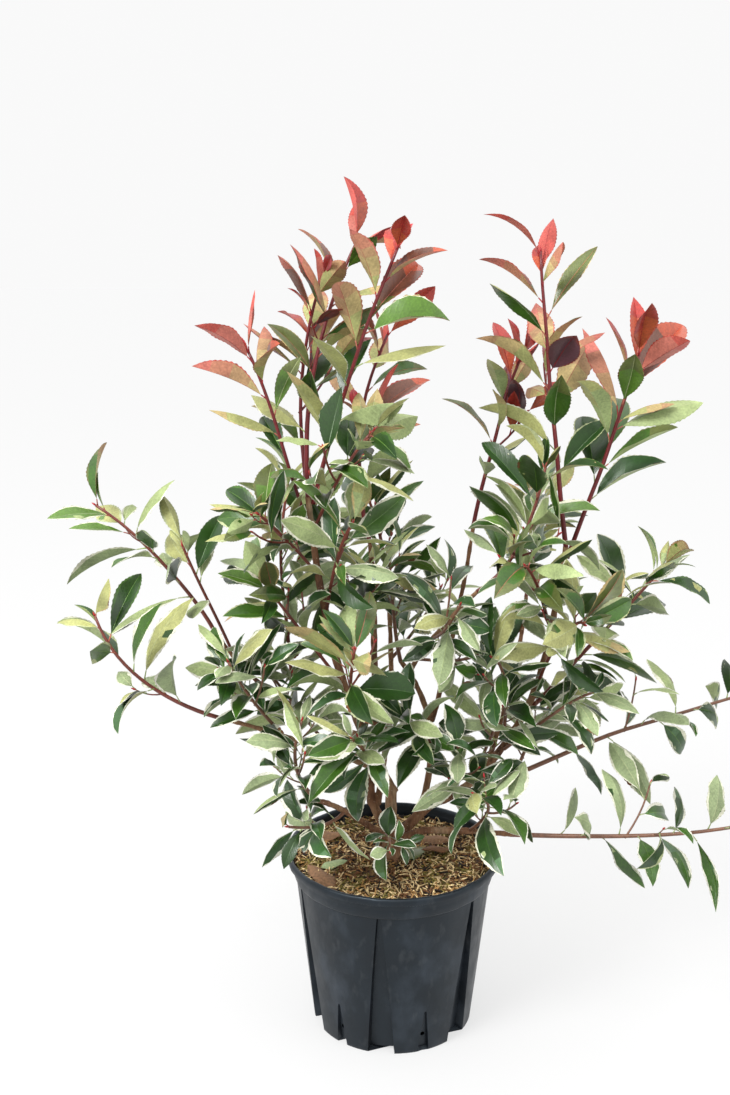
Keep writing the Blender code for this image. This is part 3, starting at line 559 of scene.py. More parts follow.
# The stops that a noise is turned into tones by
BARK_STOPS = (
    (0.30, (108, 74, 56)), (0.46, (150, 108, 80)), (0.58, (170, 132, 100)), (0.72, (188, 166, 136)),
)
PORE_TONE = (186, 164, 140)
PLASTIC_STOPS = ((0.35, (8, 10, 15)), (0.52, (15, 20, 26)), (0.72, (46, 52, 60)))
SCUFF_TONE = (86, 88, 90)
CRUMB_STOPS = ((0.34, (48, 33, 22)), (0.50, (104, 72, 40)), (0.66, (150, 116, 66)))
MOSS_STOPS = ((0.36, (70, 62, 26)), (0.64, (134, 128, 62)))

# Shine and roughness
SHINY = 0.5
SATIN = 0.42
DULL = 0.25
GLOSSY_ROUGHNESS = 0.33
LEAF_ROUGHNESS = 0.52
SATIN_ROUGHNESS = 0.42
LITTER_ROUGHNESS = 0.85
BARK_ROUGHNESS = 0.78
PLASTIC_ROUGHNESS = (0.20, 0.66)
PLASTIC_TINT = (0.74, 0.88, 1.0, 1.0)
SOIL_ROUGHNESS = 0.92

# The side veins of a leaf
VEINS = 10.0
VEIN_SLANT = 0.5
VEIN_WANDER = 0.06
VEIN_NARROW = 8.0
VEIN_SHOW = 0.10
VEIN_PALE = 1.9

# A Mix node's colour sockets
MIX_FIRST = 6
MIX_SECOND = 7
MIX_RESULT = 2

Side = namedtuple("Side", "chain margin rib")

# How a leaf looks from the oldest, variegated ones to the youngest, two entries for each level: the
# choices for its upper side, then for its lower side. A choice has the tones from the leaf's foot to
# its tip, then its margin, then its rib
LOOKS = (
    (("deep_green", "cream", "green"), ("blue_green", "pale_cream", "grass_green"),
     ("deep_green", "pale_cream", "green"), ("green", "cream", "grass_green")),
    (("sage", "pale_cream", "lime"), ("pale_green", "cream", "lime"), ("sage", "cream", "pale_green")),
    (("green", "pale_cream", "grass_green"), ("deep_green", "lime", "green"),
     ("blue_green", "cream", "grass_green"), ("deep_green", "deep_green", "green")),
    (("pale_green", "pale_cream", "lime"), ("sage", "pale_cream", "lime"),
     ("yellow_green", "pale_cream", "lime")),
    (("green", "lime", "grass_green"), ("grass_green", "pale_cream", "sage"),
     ("deep_green", "green", "grass_green"), ("green green olive", "olive", "sage")),
    (("yellow_green", "lime", "lime"), ("pale_green", "pale_green", "lime"),
     ("yellow_green yellow_green yellow_blush", "yellow_blush", "lime")),
    (("green green olive", "olive", "rose_rib"), ("grass_green grass_green olive", "olive", "lime"),
     ("olive", "yellow_blush", "rose_rib"), ("green", "lime", "grass_green")),
    (("yellow_green yellow_green yellow_blush blush", "blush", "rose_rib"),
     ("yellow_green", "yellow_blush", "lime"), ("pale_green yellow_green", "yellow_blush", "lime"),
     ("yellow_green yellow_blush blush blush_pink", "blush_pink", "rose_rib")),
    (("bronze russet orange_red", "orange_red", "red_rib"), ("plum plum wine", "wine", "red_rib"),
     ("olive russet russet orange_red", "coral", "rose_rib"), ("orange_red red", "coral", "rose_rib")),
    (("yellow_green yellow_blush blush blush_pink pink", "pink", "rose_rib"),
     ("yellow_blush blush blush_pink pink", "coral", "rose_rib"),
     ("yellow_green yellow_green yellow_blush blush blush_pink", "blush_pink", "rose_rib")),
    (("red crimson", "coral", "pink"), ("orange_red red", "coral", "red_rib"), ("crimson", "coral", "pink"),
     ("plum wine red", "red", "red_rib")),
    (("blush_pink pink coral", "coral", "rose_rib"), ("pink pink coral", "coral", "red_rib"),
     ("coral", "red", "red_rib")),
)

Fine = namedtuple(
    "Fine", "twigs leaves small fillers filler_small tuft tuft_small long fold width margin levels spots "
    "flipped"
)

# For each stage, and for the small shoot before the trunk: its fine side twigs, the leaves on one and
# their share of a full leaf, the small leaves on the stem itself and their share, the leaves at the tip
# and their share, how much longer a leaf grows than its solid, how far it folds, its share of the
# solid's width, where its margin begins, its oldest and youngest look, the share of spotted leaves and
# of leaves that turn over
FINE = {
    "top": Fine(
        twigs=1, leaves=2, small=0.55, fillers=2, filler_small=0.58, tuft=5, tuft_small=0.66,
        long=(0.9, 1.45), fold=(0.45, 1.15), width=(0.68, 0.98), margin=(0.86, 0.97), levels=(1.0, 5.35),
        spots=0.14, flipped=0.44,
    ),
    "middle": Fine(
        twigs=4, leaves=3, small=0.70, fillers=8, filler_small=0.76, tuft=3, tuft_small=0.5,
        long=(1.1, 1.65), fold=(0.35, 0.95), width=(0.80, 1.08), margin=(0.50, 0.95), levels=(0.3, 2.6),
        spots=0.07, flipped=0.50,
    ),
    "low": Fine(
        twigs=4, leaves=4, small=0.70, fillers=9, filler_small=0.76, tuft=3, tuft_small=0.5,
        long=(1.0, 1.55), fold=(0.30, 0.85), width=(0.82, 1.08), margin=(0.46, 0.96), levels=(0.0, 1.1),
        spots=0.09, flipped=0.42,
    ),
    "front_foot": Fine(
        twigs=2, leaves=3, small=0.62, fillers=4, filler_small=0.7, tuft=3, tuft_small=0.5,
        long=(0.62, 0.9), fold=(0.25, 0.7), width=(0.8, 1.0), margin=(0.55, 0.93), levels=(0.0, 0.1),
        spots=0.0, flipped=0.06,
    ),
}
# How far from a tip a leaf looks one level older, and how much further away a side twig's tip counts
LEVEL_FALL = 0.034
LEVEL_PLAY = (-0.7, 0.7)
TWIG_OLDER = 0.034
# The stalk's tone at each level, how many rows a leaf's tones shift, the share of the oldest leaves
# that have grey-green patches, and the number of these and of brown spots
STALK_TONES = ("lime", "pale_rib", "rose_rib", "rose_rib", "red_rib", "red_rib")
TONE_SHIFT = (-0.9, 0.9)
PATCHED = 0.6
PATCHES = 2
SPOTS = 2
SPOTS_FROM = 2

# The arching side branches, which carry few leaves
SPARSE = ("left_arch_tip", "left_arch_side", "left_low_tip", "right_low_tip", "right_lowest_tip")
SPARSE_GROWTH = {"twigs": 1, "leaves": 2, "fillers": 2}


def linear(tone):
    """A colour of 0 to 255 as the linear red, green, blue and alpha that a shader takes."""
    shares = [part / 255.0 for part in tone]
    return [LIT_SHARE * ((share + 0.055) / 1.055) ** 2.4 for share in shares] + [1.0]


def scaled(colour, share):
    """A colour made lighter or darker by a share."""
    return [part * share for part in colour[:3]] + [1.0]


def grey(strength):
    """A colour without a hue."""
    return [strength, strength, strength, 1.0]


class Finish:
    """A material with one Principled shader, built up node by node."""

    def __init__(self, name, roughness, shine):
        self.material = bpy.data.materials.new(name)
        self.material.use_nodes = True
        self.tree = self.material.node_tree
        self.shader = self.tree.nodes["Principled BSDF"]
        self.give("Roughness", roughness)
        self.give("Specular IOR Level", shine)
        self.spot = self.node("TexCoord").outputs["Object"]

    def give(self, socket, value):
        """Set one of the shader's own sockets."""
        self.shader.inputs[socket].default_value = value

    def node(self, kind, **settings):
        """A new node with its settings."""
        made = self.tree.nodes.new("ShaderNode" + kind)
        for setting, value in settings.items():
            setattr(made, setting, value)
        return made

    def math(self, operation, first, second=0.0):
        """The result of a calculation on two numbers or sockets."""
        made = self.node("Math", operation=operation)
        for socket, value in zip(made.inputs, (first, second)):
            if isinstance(value, (int, float)):
                socket.default_value = value
            else:
                self.tree.links.new(value, socket)
        return made.outputs[0]

    def noise(self, scale, detail=2.0, stretch=(1.0, 1.0, 1.0)):
        """Cloudy noise at a scale, over the piece's own places."""
        spread = self.node("Mapping")
        spread.inputs["Scale"].default_value = stretch
        self.tree.links.new(self.spot, spread.inputs["Vector"])
        made = self.node("TexNoise")
        made.inputs["Scale"].default_value = scale
        made.inputs["Detail"].default_value = detail
        self.tree.links.new(spread.outputs[0], made.inputs["Vector"])
        return made.outputs["Fac"]

    def ramp(self, source, stops):
        """A number turned into a colour by stops of place and colour."""
        made = self.node("ValToRGB")
        made.color_ramp.elements[0].position = stops[0][0]
        made.color_ramp.elements[0].color = stops[0][1]
        made.color_ramp.elements[1].position = stops[-1][0]
        made.color_ramp.elements[1].color = stops[-1][1]
        for place, colour in stops[1:-1]:
            made.color_ramp.elements.new(place).color = colour
        self.tree.links.new(source, made.inputs["Fac"])
        return made.outputs["Color"]

    def tones(self, source, stops):
        """The same with tones of 0 to 255."""
        return self.ramp(source, [(place, linear(tone)) for place, tone in stops])

    def blend(self, share, first, second):
        """A mix of two colours or colour sockets by a share."""
        made = self.node("Mix", data_type="RGBA")
        self.tree.links.new(share, made.inputs["Factor"])
        for socket, value in ((made.inputs[MIX_FIRST], first), (made.inputs[MIX_SECOND], second)):
            if isinstance(value, (list, tuple)):
                socket.default_value = value
            else:
                self.tree.links.new(value, socket)
        return made.outputs[MIX_RESULT]

    def darken(self, share, colour, shade):
        """A colour socket multiplied by another at a fixed share."""
        made = self.node("Mix", data_type="RGBA", blend_type="MULTIPLY")
        made.inputs["Factor"].default_value = share
        self.tree.links.new(colour, made.inputs[MIX_FIRST])
        self.tree.links.new(shade, made.inputs[MIX_SECOND])
        return made.outputs[MIX_RESULT]

    def colour(self, source):
        """Give the shader its base colour."""
        self.tree.links.new(source, self.shader.inputs["Base Color"])

    def roughness(self, source, low, high):
        """Let the roughness vary between two values."""
        spread = self.node("MapRange")
        spread.inputs["To Min"].default_value = low
        spread.inputs["To Max"].default_value = high
        self.tree.links.new(source, spread.inputs["Value"])
        self.tree.links.new(spread.outputs[0], self.shader.inputs["Roughness"])

    def bump(self, source, strength, distance):
        """Give the surface a fine relief."""
        made = self.node("Bump")
        made.inputs["Strength"].default_value = strength
        made.inputs["Distance"].default_value = distance
        self.tree.links.new(source, made.inputs["Height"])
        self.tree.links.new(made.outputs[0], self.shader.inputs["Normal"])


def veins_of(made):
    """How strongly a side vein shows at a place of a leaf, from the leaf's own map."""
    place = made.node("UVMap", uv_map="leaf")
    parts = made.node("SeparateXYZ")
    made.tree.links.new(place.outputs[0], parts.inputs[0])
    away = made.math("ABSOLUTE", made.math("SUBTRACT", parts.outputs["Y"], 0.5))
    slant = made.math("SUBTRACT", parts.outputs["X"], made.math("MULTIPLY", away, VEIN_SLANT))
    wander = made.math("MULTIPLY", made.noise(scale=90.0), VEIN_WANDER)
    turns = made.math("MULTIPLY", made.math("ADD", slant, wander), 2.0 * math.pi * VEINS)
    height = made.math("MULTIPLY", made.math("SINE", turns), 0.5)
    return made.math("POWER", made.math("ADD", height, 0.5), VEIN_NARROW)


def leaf_finish(name):
    """Leaf skin: cloudy tone, side veins that follow the leaf, fine grain."""
    glossy = name in GLOSSY_TONES
    made = Finish(name, GLOSSY_ROUGHNESS if glossy else LEAF_ROUGHNESS, SHINY if glossy else DULL)
    tone = linear(TONES[name])
    vein = veins_of(made)
    cloud = made.noise(scale=26.0, detail=4.0)
    grain = made.noise(scale=420.0, detail=3.0)
    broad = made.ramp(cloud, ((0.32, scaled(tone, 0.70)), (0.5, tone), (0.68, scaled(tone, 1.32))))
    fine = made.ramp(grain, ((0.3, grey(0.70)), (0.7, grey(1.22))))
    mixed = made.darken(0.7, broad, fine)
    made.colour(made.blend(made.math("MULTIPLY", vein, VEIN_SHOW), mixed, scaled(tone, VEIN_PALE)))
    relief = made.math("ADD", made.math("MULTIPLY", vein, -0.5), made.math("MULTIPLY", grain, 0.5))
    made.bump(relief, strength=0.22, distance=0.0004)
    return made.material


def plain_finish(name, roughness, spread, scale):
    """A matt or satin skin whose tone varies with a fine cloud and has a fine grain."""
    made = Finish(name, roughness, SHINY)
    tone = linear(TONES[name])
    cloud = made.noise(scale, detail=4.0)
    made.colour(made.ramp(cloud, ((0.3, scaled(tone, 1.0 - spread)), (0.7, scaled(tone, 1.0 + spread)))))
    made.bump(made.noise(scale=900.0), strength=0.25, distance=0.0004)
    return made.material


def bark_finish():
    """Old bark: red-brown and grey patches along the limb, pale pores and fine cracks."""
    made = Finish("bark", BARK_ROUGHNESS, DULL)
    patch = made.noise(scale=38.0, detail=5.0, stretch=(1.0, 1.0, 0.45))
    streak = made.noise(scale=320.0, detail=4.0, stretch=(1.0, 1.0, 0.3))
    cracks = made.ramp(streak, ((0.32, grey(0.55)), (0.6, grey(1.08))))
    mixed = made.darken(0.8, made.tones(patch, BARK_STOPS), cracks)
    pores = made.node("TexVoronoi")
    pores.inputs["Scale"].default_value = 260.0
    made.tree.links.new(made.spot, pores.inputs["Vector"])
    pore = made.math("LESS_THAN", pores.outputs["Distance"], 0.16)
    made.colour(made.blend(made.math("MULTIPLY", pore, 0.7), mixed, linear(PORE_TONE)))
    made.bump(streak, strength=0.8, distance=0.0012)
    return made.material


def plastic_finish():
    """Black nursery-pot plastic: satin, with cloudy dusty patches, faint scuffs and rubbed places."""
    made = Finish("pot_plastic", SATIN_ROUGHNESS, SATIN)
    made.give("Specular Tint", PLASTIC_TINT)
    dust = made.noise(scale=24.0, detail=8.0, stretch=(1.0, 1.0, 0.7))
    smear = made.noise(scale=85.0, detail=8.0, stretch=(1.0, 1.0, 0.5))
    scuff = made.ramp(smear, ((0.56, grey(0.0)), (0.70, grey(1.0))))
    faint = made.math("MULTIPLY", scuff, 0.22)
    made.colour(made.blend(faint, made.tones(dust, PLASTIC_STOPS), linear(SCUFF_TONE)))
    made.roughness(smear, *PLASTIC_ROUGHNESS)
    made.bump(made.noise(scale=700.0, detail=3.0), strength=0.12, distance=0.0003)
    return made.material


def soil_finish():
    """Damp potting soil: dark crumbs with moss and straw-coloured fibre."""
    made = Finish("soil", SOIL_ROUGHNESS, SHINY)
    grain = made.noise(scale=240.0, detail=6.0)
    cloud = made.noise(scale=40.0, detail=3.0)
    patch = made.ramp(cloud, ((0.52, grey(0.0)), (0.64, grey(1.0))))
    made.colour(made.blend(patch, made.tones(grain, CRUMB_STOPS), made.tones(grain, MOSS_STOPS)))
    made.bump(grain, strength=1.0, distance=0.002)
    return made.material


def make_finishes():
    """Every finish of the plant, pot and litter by its name."""
    made = {}
    for name in TONES:
        if name in STEM_TONES:
            made[name] = plain_finish(name, SATIN_ROUGHNESS, spread=0.22, scale=220.0)
        elif name in LITTER_TONES:
            made[name] = plain_finish(name, LITTER_ROUGHNESS, spread=0.35, scale=300.0)
        else:
            made[name] = leaf_finish(name)
    made["bark"] = bark_finish()
    made["pot_plastic"] = plastic_finish()
    made["soil"] = soil_finish()
    return made


FINISHES = make_finishes()


# Meshes and objects

def kept_mesh(bm, name):
    """A mesh made from a bmesh, which is freed."""
    mesh = bpy.data.meshes.new(name)
    bm.to_mesh(mesh)
    bm.free()
    return mesh


def copied(mesh):
    """A new bmesh with a copy of a mesh in it."""
    bm = bmesh.new()
    bm.from_mesh(mesh)
    return bm


def placed(name, data):
    """A new object in the scene, with its mesh, lamp or lens."""
    made = bpy.data.objects.new(name, data)
    bpy.context.scene.collection.objects.link(made)
    return made


# Runs and lofts

def loft(sides, places, point=None):
    """A closed solid: a flat face set at the first place and extruded to each next one."""
    bm = bmesh.new()
    bmesh.ops.create_circle(bm, cap_ends=True, segments=sides, radius=1.0, matrix=places[0])
    foot = next(iter(bm.faces))
    face = foot
    for before, after in zip(places, places[1:]):
        face = extruded(bm, face, foot)
        bmesh.ops.transform(bm, matrix=after @ before.inverted(), verts=face.verts)
    if point is not None:
        face = extruded(bm, face, foot)
        bmesh.ops.pointmerge(bm, verts=list(face.verts), merge_co=point)
    bmesh.ops.recalc_face_normals(bm, faces=bm.faces)
    return bm


def extruded(bm, face, foot):
    """The end face of a solid, extruded on the spot; only the foot's own face stays behind."""
    grown = bmesh.ops.extrude_face_region(bm, geom=[face])["geom"]
    if face is not foot:
        bmesh.ops.delete(bm, geom=[face], context="FACES_ONLY")
    return next(part for part in grown if isinstance(part, bmesh.types.BMFace))


def bow(start, via, tip, share):
    """The point at a share of the curve that passes from start by via to tip."""
    pull = 2.0 * via - 0.5 * (start + tip)
    rest = 1.0 - share
    return rest * rest * start + 2.0 * rest * share * pull + share * share * tip


def curved_run(start, via, tip, thick, thin, count, first=0.0):
    """Evenly placed points of a bow and the radius at each, from a first share on."""
    shares = [first + (1.0 - first) * i / (count - 1) for i in range(count)]
    points = [bow(start, via, tip, share) for share in shares]
    radii = [thick + (thin - thick) * share for share in shares]
    return Run(points, radii, (start, via, tip, thick, thin, first))


def finer(run, count):
    """The same run with more points."""
    start, via, tip, thick, thin, first = run.curve
    return curved_run(start, via, tip, thick, thin, count, first)


def directions(points):
    """The direction of a run at each of its points."""
    ahead = points[1:] + points[-1:]
    behind = points[:1] + points[:-1]
    return [(after - before).normalized() for before, after in zip(behind, ahead)]


def cross_places(run):
    """One matrix for each point of a run: across it, as wide as its radius, without twist."""
    places = []
    side = directions(run.points)[0].orthogonal().normalized()
    for point, forward, radius in zip(run.points, directions(run.points), run.radii):
        side = (side - side.project(forward)).normalized()
        turn = Matrix((side, forward.cross(side), forward)).transposed().to_4x4()
        places.append(Matrix.Translation(point) @ turn @ Matrix.Diagonal((radius, radius, 1.0, 1.0)))
    return places


def on_run(run, share):
    """The point, direction and radius at a share of a run."""
    at = share * (len(run.points) - 1)
    low = min(int(at), len(run.points) - 2)
    part = at - low
    point = run.points[low].lerp(run.points[low + 1], part)
    heading = directions(run.points)
    forward = heading[low].lerp(heading[low + 1], part).normalized()
    return point, forward, run.radii[low] * (1.0 - part) + run.radii[low + 1] * part


def is_clear(tree, place, sides):
    """True where the flat face of a foot lies outside a solid and at least GAP from it."""
    angles = [math.radians(90.0) + 2.0 * math.pi * i / sides for i in range(sides)]
    corners = [place @ Vector((math.cos(angle), math.sin(angle), 0.0)) for angle in angles]
    middles = [(a + b) * 0.5 for a, b in zip(corners, corners[1:] + corners[:1])]
    for spot in corners + middles + [place.translation]:
        near, normal, _, distance = tree.find_nearest(spot)
        if distance < GAP or (spot - near).dot(normal) <= 0.0:
            return False
    return True


def seated_run(start, via, tip, thick, thin, count, sides, tree):
    """A run whose foot is moved along it until it stands just clear of what carries it."""
    length = (via - start).length + (tip - via).length
    for i in range(MOST_STEPS):
        run = curved_run(start, via, tip, thick, thin, count, i * STEP / length)
        places = cross_places(run)
        if not is_clear(tree, places[0], sides):
            continue
        shell = loft(sides, places)
        touches = BVHTree.FromBMesh(shell).overlap(tree)
        shell.free()
        if not touches:
            return run
    raise ValueError("no clear foot")


# Leaves

def leaf_places(leaf, margin=0.0):
    """The cross-sections of a leaf: a three-sided stalk, then a blade with a keel under it."""
    side = leaf.forward.cross(leaf.normal)
    places = []
    for share, spread in LEAF_STATIONS:
        centre, forward, normal = leaf_line(leaf, share)
        half = STALK if spread is None else 0.5 * leaf.width * spread / HALF_SIDE
        keel = STALK if spread is None else LEAF_KEEL * leaf.length
        turn = Matrix((side, -normal, forward)).transposed().to_4x4()
        grow = Matrix.Diagonal((half + margin, keel + margin, 1.0, 1.0))
        places.append(Matrix.Translation(centre) @ turn @ grow)
    return places


def leaf_line(leaf, share):
    """The middle line of a leaf, an arc that bends back: its point, direction and upper side."""
    turned = leaf.arch * share
    radius = leaf.length / leaf.arch
    centre = leaf.root + leaf.forward * (radius * math.sin(turned))
    centre = centre - leaf.normal * (radius * (1.0 - math.cos(turned)))
    forward = leaf.forward * math.cos(turned) - leaf.normal * math.sin(turned)
    normal = leaf.normal * math.cos(turned) + leaf.forward * math.sin(turned)
    return centre, forward, normal


def leaf_solid(leaf, margin=0.0):
    """A leaf as a closed solid of sixteen faces."""
    return loft(TWIG_SIDES, leaf_places(leaf, margin), leaf_line(leaf, 1.0)[0])


def outward(forward, angle):
    """The direction across a limb at an angle round it."""
    across = forward.orthogonal().normalized()
    return across * math.cos(angle) + forward.cross(across) * math.sin(angle)


def leaf_on(run, share, angle, stage, length, chance):
    """A leaf that stands on a run at a share of it, turned about it by an angle."""
    point, forward, _ = on_run(run, share)
    out = outward(forward, angle)
    rules = STAGES[stage]
    young = max(0.0, share - YOUNG_FROM) / (1.0 - YOUNG_FROM)
    spread = math.radians(rules.spread * (1.0 - YOUNG_CLOSER * young) + chance.uniform(*SPREAD_PLAY))
    heading = forward * math.cos(spread) + out * math.sin(spread)
    lift = rules.lift + chance.uniform(-LIFT_PLAY, LIFT_PLAY)
    heading = (heading + UP * lift).normalized()
    facing = forward * FACE_ALONG + UP * FACE_UP
    facing = (facing - facing.project(heading)).normalized()
    roll = math.radians(chance.uniform(-rules.roll, rules.roll))
    facing.rotate(Matrix.Rotation(roll, 3, heading))
    size = length * chance.uniform(*SIZE_PLAY) * (1.0 - YOUNG_SMALLER * young)
    width = size * LEAF_SPREAD * chance.uniform(*WIDTH_PLAY)
    return Leaf(point, heading, facing, size, width, rules.arch * chance.uniform(*ARCH_PLAY))


# Growth

def over_pot(point):
    """True where a point is clear of the pot, its lip and the soil in it."""
    away = math.hypot(point.x, point.y)
    if away > LIP_RADIUS + LEAF_ABOVE_LIP:
        return point.z > LEAF_ABOVE_GROUND
    if away > LIP_RADIUS - LIP_WIDTH:
        return point.z > RIM_TOP + LEAF_ABOVE_LIP
    return point.z > SOIL_TOP + LEAF_ABOVE_SOIL


class Crowd:
    """The solids that are already there, which a new one may not touch, and the room for new ones."""

    def __init__(self):
        self.solids = []
        self.room = None

    def add(self, bm, owner):
        """Take in a solid and free its bmesh."""
        centre = sum((v.co for v in bm.verts), Vector()) / len(bm.verts)
        reach = max((v.co - centre).length for v in bm.verts)
        self.solids.append((centre, reach, BVHTree.FromBMesh(bm), owner))
        bm.free()

    def in_room(self, point):
        """True where a point lies in the room that new growth keeps to."""
        low, high = self.room
        return all(low[i] <= point[i] <= high[i] for i in range(3))

    def is_free(self, bm, owner):
        """True where a solid touches none of the others but its owner's, and not the pot."""
        points = [v.co for v in bm.verts]
        middles = [(e.verts[0].co + e.verts[1].co) * 0.5 for e in bm.edges]
        if not all(over_pot(point) for point in points + middles):
            return False
        if self.room is not None and not all(self.in_room(point) for point in points):
            return False
        centre = sum(points, Vector()) / len(points)
        reach = max((point - centre).length for point in points)
        tree = BVHTree.FromBMesh(bm)
        for other_centre, other_reach, other_tree, other_owner in self.solids:
            if other_owner == owner or (centre - other_centre).length > reach + other_reach:
                continue
            if tree.overlap(other_tree):
                return False
        return True


def grow_leaves(run, owner, count, length, stage, crowd, chance):
    """Leaves in a spiral along a run, each turned until it is free, or left out."""
    leaves = []
    bare = STAGES[stage].bare
    angle = chance.uniform(0.0, 2.0 * math.pi)
    for i in range(count):
        share = bare + (LAST_LEAF - bare) * ((i + 1.0) / count) ** LEAF_CROWDING
        angle += GOLDEN_ANGLE
        for attempt in range(TRIES):
            swing = TRY_SWING * ((attempt + 1) // 2) * (-1.0) ** attempt
            turned = angle + swing + chance.uniform(-ANGLE_PLAY, ANGLE_PLAY)
            leaf = leaf_on(run, share, turned, stage, length, chance)
            shell = leaf_solid(leaf, LEAF_MARGIN)
            if crowd.is_free(shell, owner):
                crowd.add(shell, None)
                leaves.append(leaf)
                break
            shell.free()
    return leaves


def grow_stem(name, shoot, runs, trees, crowd):
    """The stem of a shoot, which starts just clear of the bough that carries it."""
    start = on_run(runs[shoot.host], shoot.along)[0]
    stem = seated_run(
        start, Vector(shoot.via), Vector(shoot.tip), shoot.thick, SHOOT_THIN, SHOOT_POINTS,
        TWIG_SIDES, trees[shoot.host],
    )
    crowd.add(loft(TWIG_SIDES, cross_places(stem)), name)
    return stem


def dress_stem(name, stem, shoot, crowd, seed):
    """The side twigs of a stem and the leaves on both, by a seeded rule."""
    chance = random.Random(seed)
    twigs = []
    leaves = []
    small = shoot.length * TWIG_LEAF_SHARE
    for i in range(shoot.twigs):
        share = (i + 1.0) / (shoot.twigs + TWIG_REST)
        twig = side_twig(stem, share, shoot.length, TWIG_LENGTHS, TWIG_RADII, chance)
        shell = loft(TWIG_SIDES, cross_places(twig))
        if crowd.is_free(shell, name):
            crowd.add(shell, name)
            twigs.append(twig)
            leaves += grow_leaves(twig, name, TWIG_LEAVES, small, shoot.stage, crowd, chance)
        else:
            shell.free()
    leaves += grow_leaves(stem, name, shoot.leaves, shoot.length, shoot.stage, crowd, chance)
    return twigs, leaves


def side_twig(stem, share, measure, lengths, radii, chance):
    """A short side twig that leaves the stem and turns up, its length a chance share of a measure."""
    point, forward, _ = on_run(stem, share)
    out = outward(forward, chance.uniform(0.0, 2.0 * math.pi))
    half = 0.5 * measure * chance.uniform(*lengths)
    heading = (forward * TWIG_FORWARD + out * TWIG_OUT + UP * TWIG_LIFT).normalized()
    via = point + heading * half
    tip = via + (heading + UP * TWIG_TURN_UP).normalized() * half
    return curved_run(point, via, tip, radii[0], radii[1], TWIG_POINTS)


# Joining

class Joined:
    """One piece that many small meshes are joined into, each with its own finish."""

    def __init__(self):
        self.bm = bmesh.new()
        self.scratch = bpy.data.meshes.new("scratch")
        self.finishes = []

    def place_of(self, finish):
        """The material slot of a finish, which is added where it is new."""
        if finish not in self.finishes:
            self.finishes.append(finish)
        return self.finishes.index(finish)

    def add(self, part, finish=None):
        """Take in a bmesh and free it; with a finish, all its faces get that one, smooth."""
        if finish is not None:
            for face in part.faces:
                face.material_index = self.place_of(finish)
                face.smooth = True
        part.to_mesh(self.scratch)
        part.free()
        self.bm.from_mesh(self.scratch)

    def piece(self, name, slot, nodes):
        """The finished object, which stands for its nodes."""
        mesh = kept_mesh(self.bm, name)
        bpy.data.meshes.remove(self.scratch)
        for finish in self.finishes:
            mesh.materials.append(FINISHES[finish])
        made = placed(name, mesh)
        settle(made, nodes)
        return made


def settle(made, nodes):
    """Set a piece on the plant's body and hide the nodes that it stands for."""
    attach(made, BODY)
    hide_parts(*nodes)


def drifted(point):
    """A point moved by a slow noise, so that no stem stays quite straight."""
    if point.z < DRIFT_FROM:
        return point
    share = min(1.0, (point.z - DRIFT_FROM) / (DRIFT_FULL - DRIFT_FROM))
    return point + noise.noise_vector(point * DRIFT_SCALE) * (DRIFT * share)


# Fine leaves

def leaf_template():
    """A flat leaf, closed: x along it, y across from -1 to 1, z 1 above and -1 below its rim.

    A face's material place holds its side, zone and row, for deal_finishes.
    """
    bm = bmesh.new()
    columns = len(LEAF_COLUMNS) - 1
    bmesh.ops.create_grid(bm, x_segments=ROWS, y_segments=columns, size=0.5)
    for vert in bm.verts:
        row = round((vert.co.x + 0.5) * ROWS)
        column = round((vert.co.y + 0.5) * columns)
        vert.co = (LEAF_ROWS[row], LEAF_COLUMNS[column], 0.0)
    for end in (LEAF_ROWS[0], LEAF_ROWS[-1]):
        line = [vert for vert in bm.verts if vert.co.x == end]
        bmesh.ops.pointmerge(bm, verts=line, merge_co=(end, 0.0, 0.0))
    for face in bm.faces:
        reach = max(abs(vert.co.y) for vert in face.verts)
        zone = RIB if reach < RIB_REACH else BLADE if reach < BLADE_REACH else MARGIN
        row = sum(face.calc_center_median().x > limit for limit in LEAF_ROWS[1:-1])
        face.material_index = zone * ROWS + row
        face.smooth = True
    for edge in bm.edges:
        if all(abs(vert.co.y) < RIB_REACH for vert in edge.verts):
            edge.smooth = edge.verts[0].co.x == edge.verts[1].co.x
    cut_teeth(bm)
    close_leaf(bm)
    place = bm.loops.layers.uv.new("leaf")
    for face in bm.faces:
        for loop in face.loops:
            loop[place].uv = (loop.vert.co.x, 0.5 + 0.5 * loop.vert.co.y)
    return kept_mesh(bm, "leaf_template")


def cut_teeth(bm):
    """Fine teeth on the rim of the flat leaf, the same on both its sides."""
    rim = [edge for edge in bm.edges if edge.is_boundary]
    bmesh.ops.bisect_edges(bm, edges=rim, cuts=RIM_CUTS)
    rim = [edge for edge in bm.edges if edge.is_boundary]
    for edge in rim:
        edge.smooth = False
    for side in (-1.0, 1.0):
        line = {vert for edge in rim for vert in edge.verts if vert.co.y * side > 0.0}
        for i, vert in enumerate(sorted(line, key=lambda vert: vert.co.x)):
            vert.co.y = side * (1.0 + TOOTH * (-1.0) ** i)


def close_leaf(bm):
    """A lower skin for the flat leaf, joined to the upper one along the rim."""
    skin = bmesh.ops.duplicate(bm, geom=bm.verts[:] + bm.edges[:] + bm.faces[:])["geom"]
    below = [part for part in skin if isinstance(part, bmesh.types.BMFace)]
    bmesh.ops.reverse_faces(bm, faces=below)
    for face in below:
        face.material_index += ZONES * ROWS
    under = {vert for face in below for vert in face.verts}
    for vert in bm.verts:
        if not vert.is_boundary:
            vert.co.z = -1.0 if vert in under else 1.0
    bmesh.ops.remove_doubles(bm, verts=bm.verts, dist=0.001)


LEAF = leaf_template()


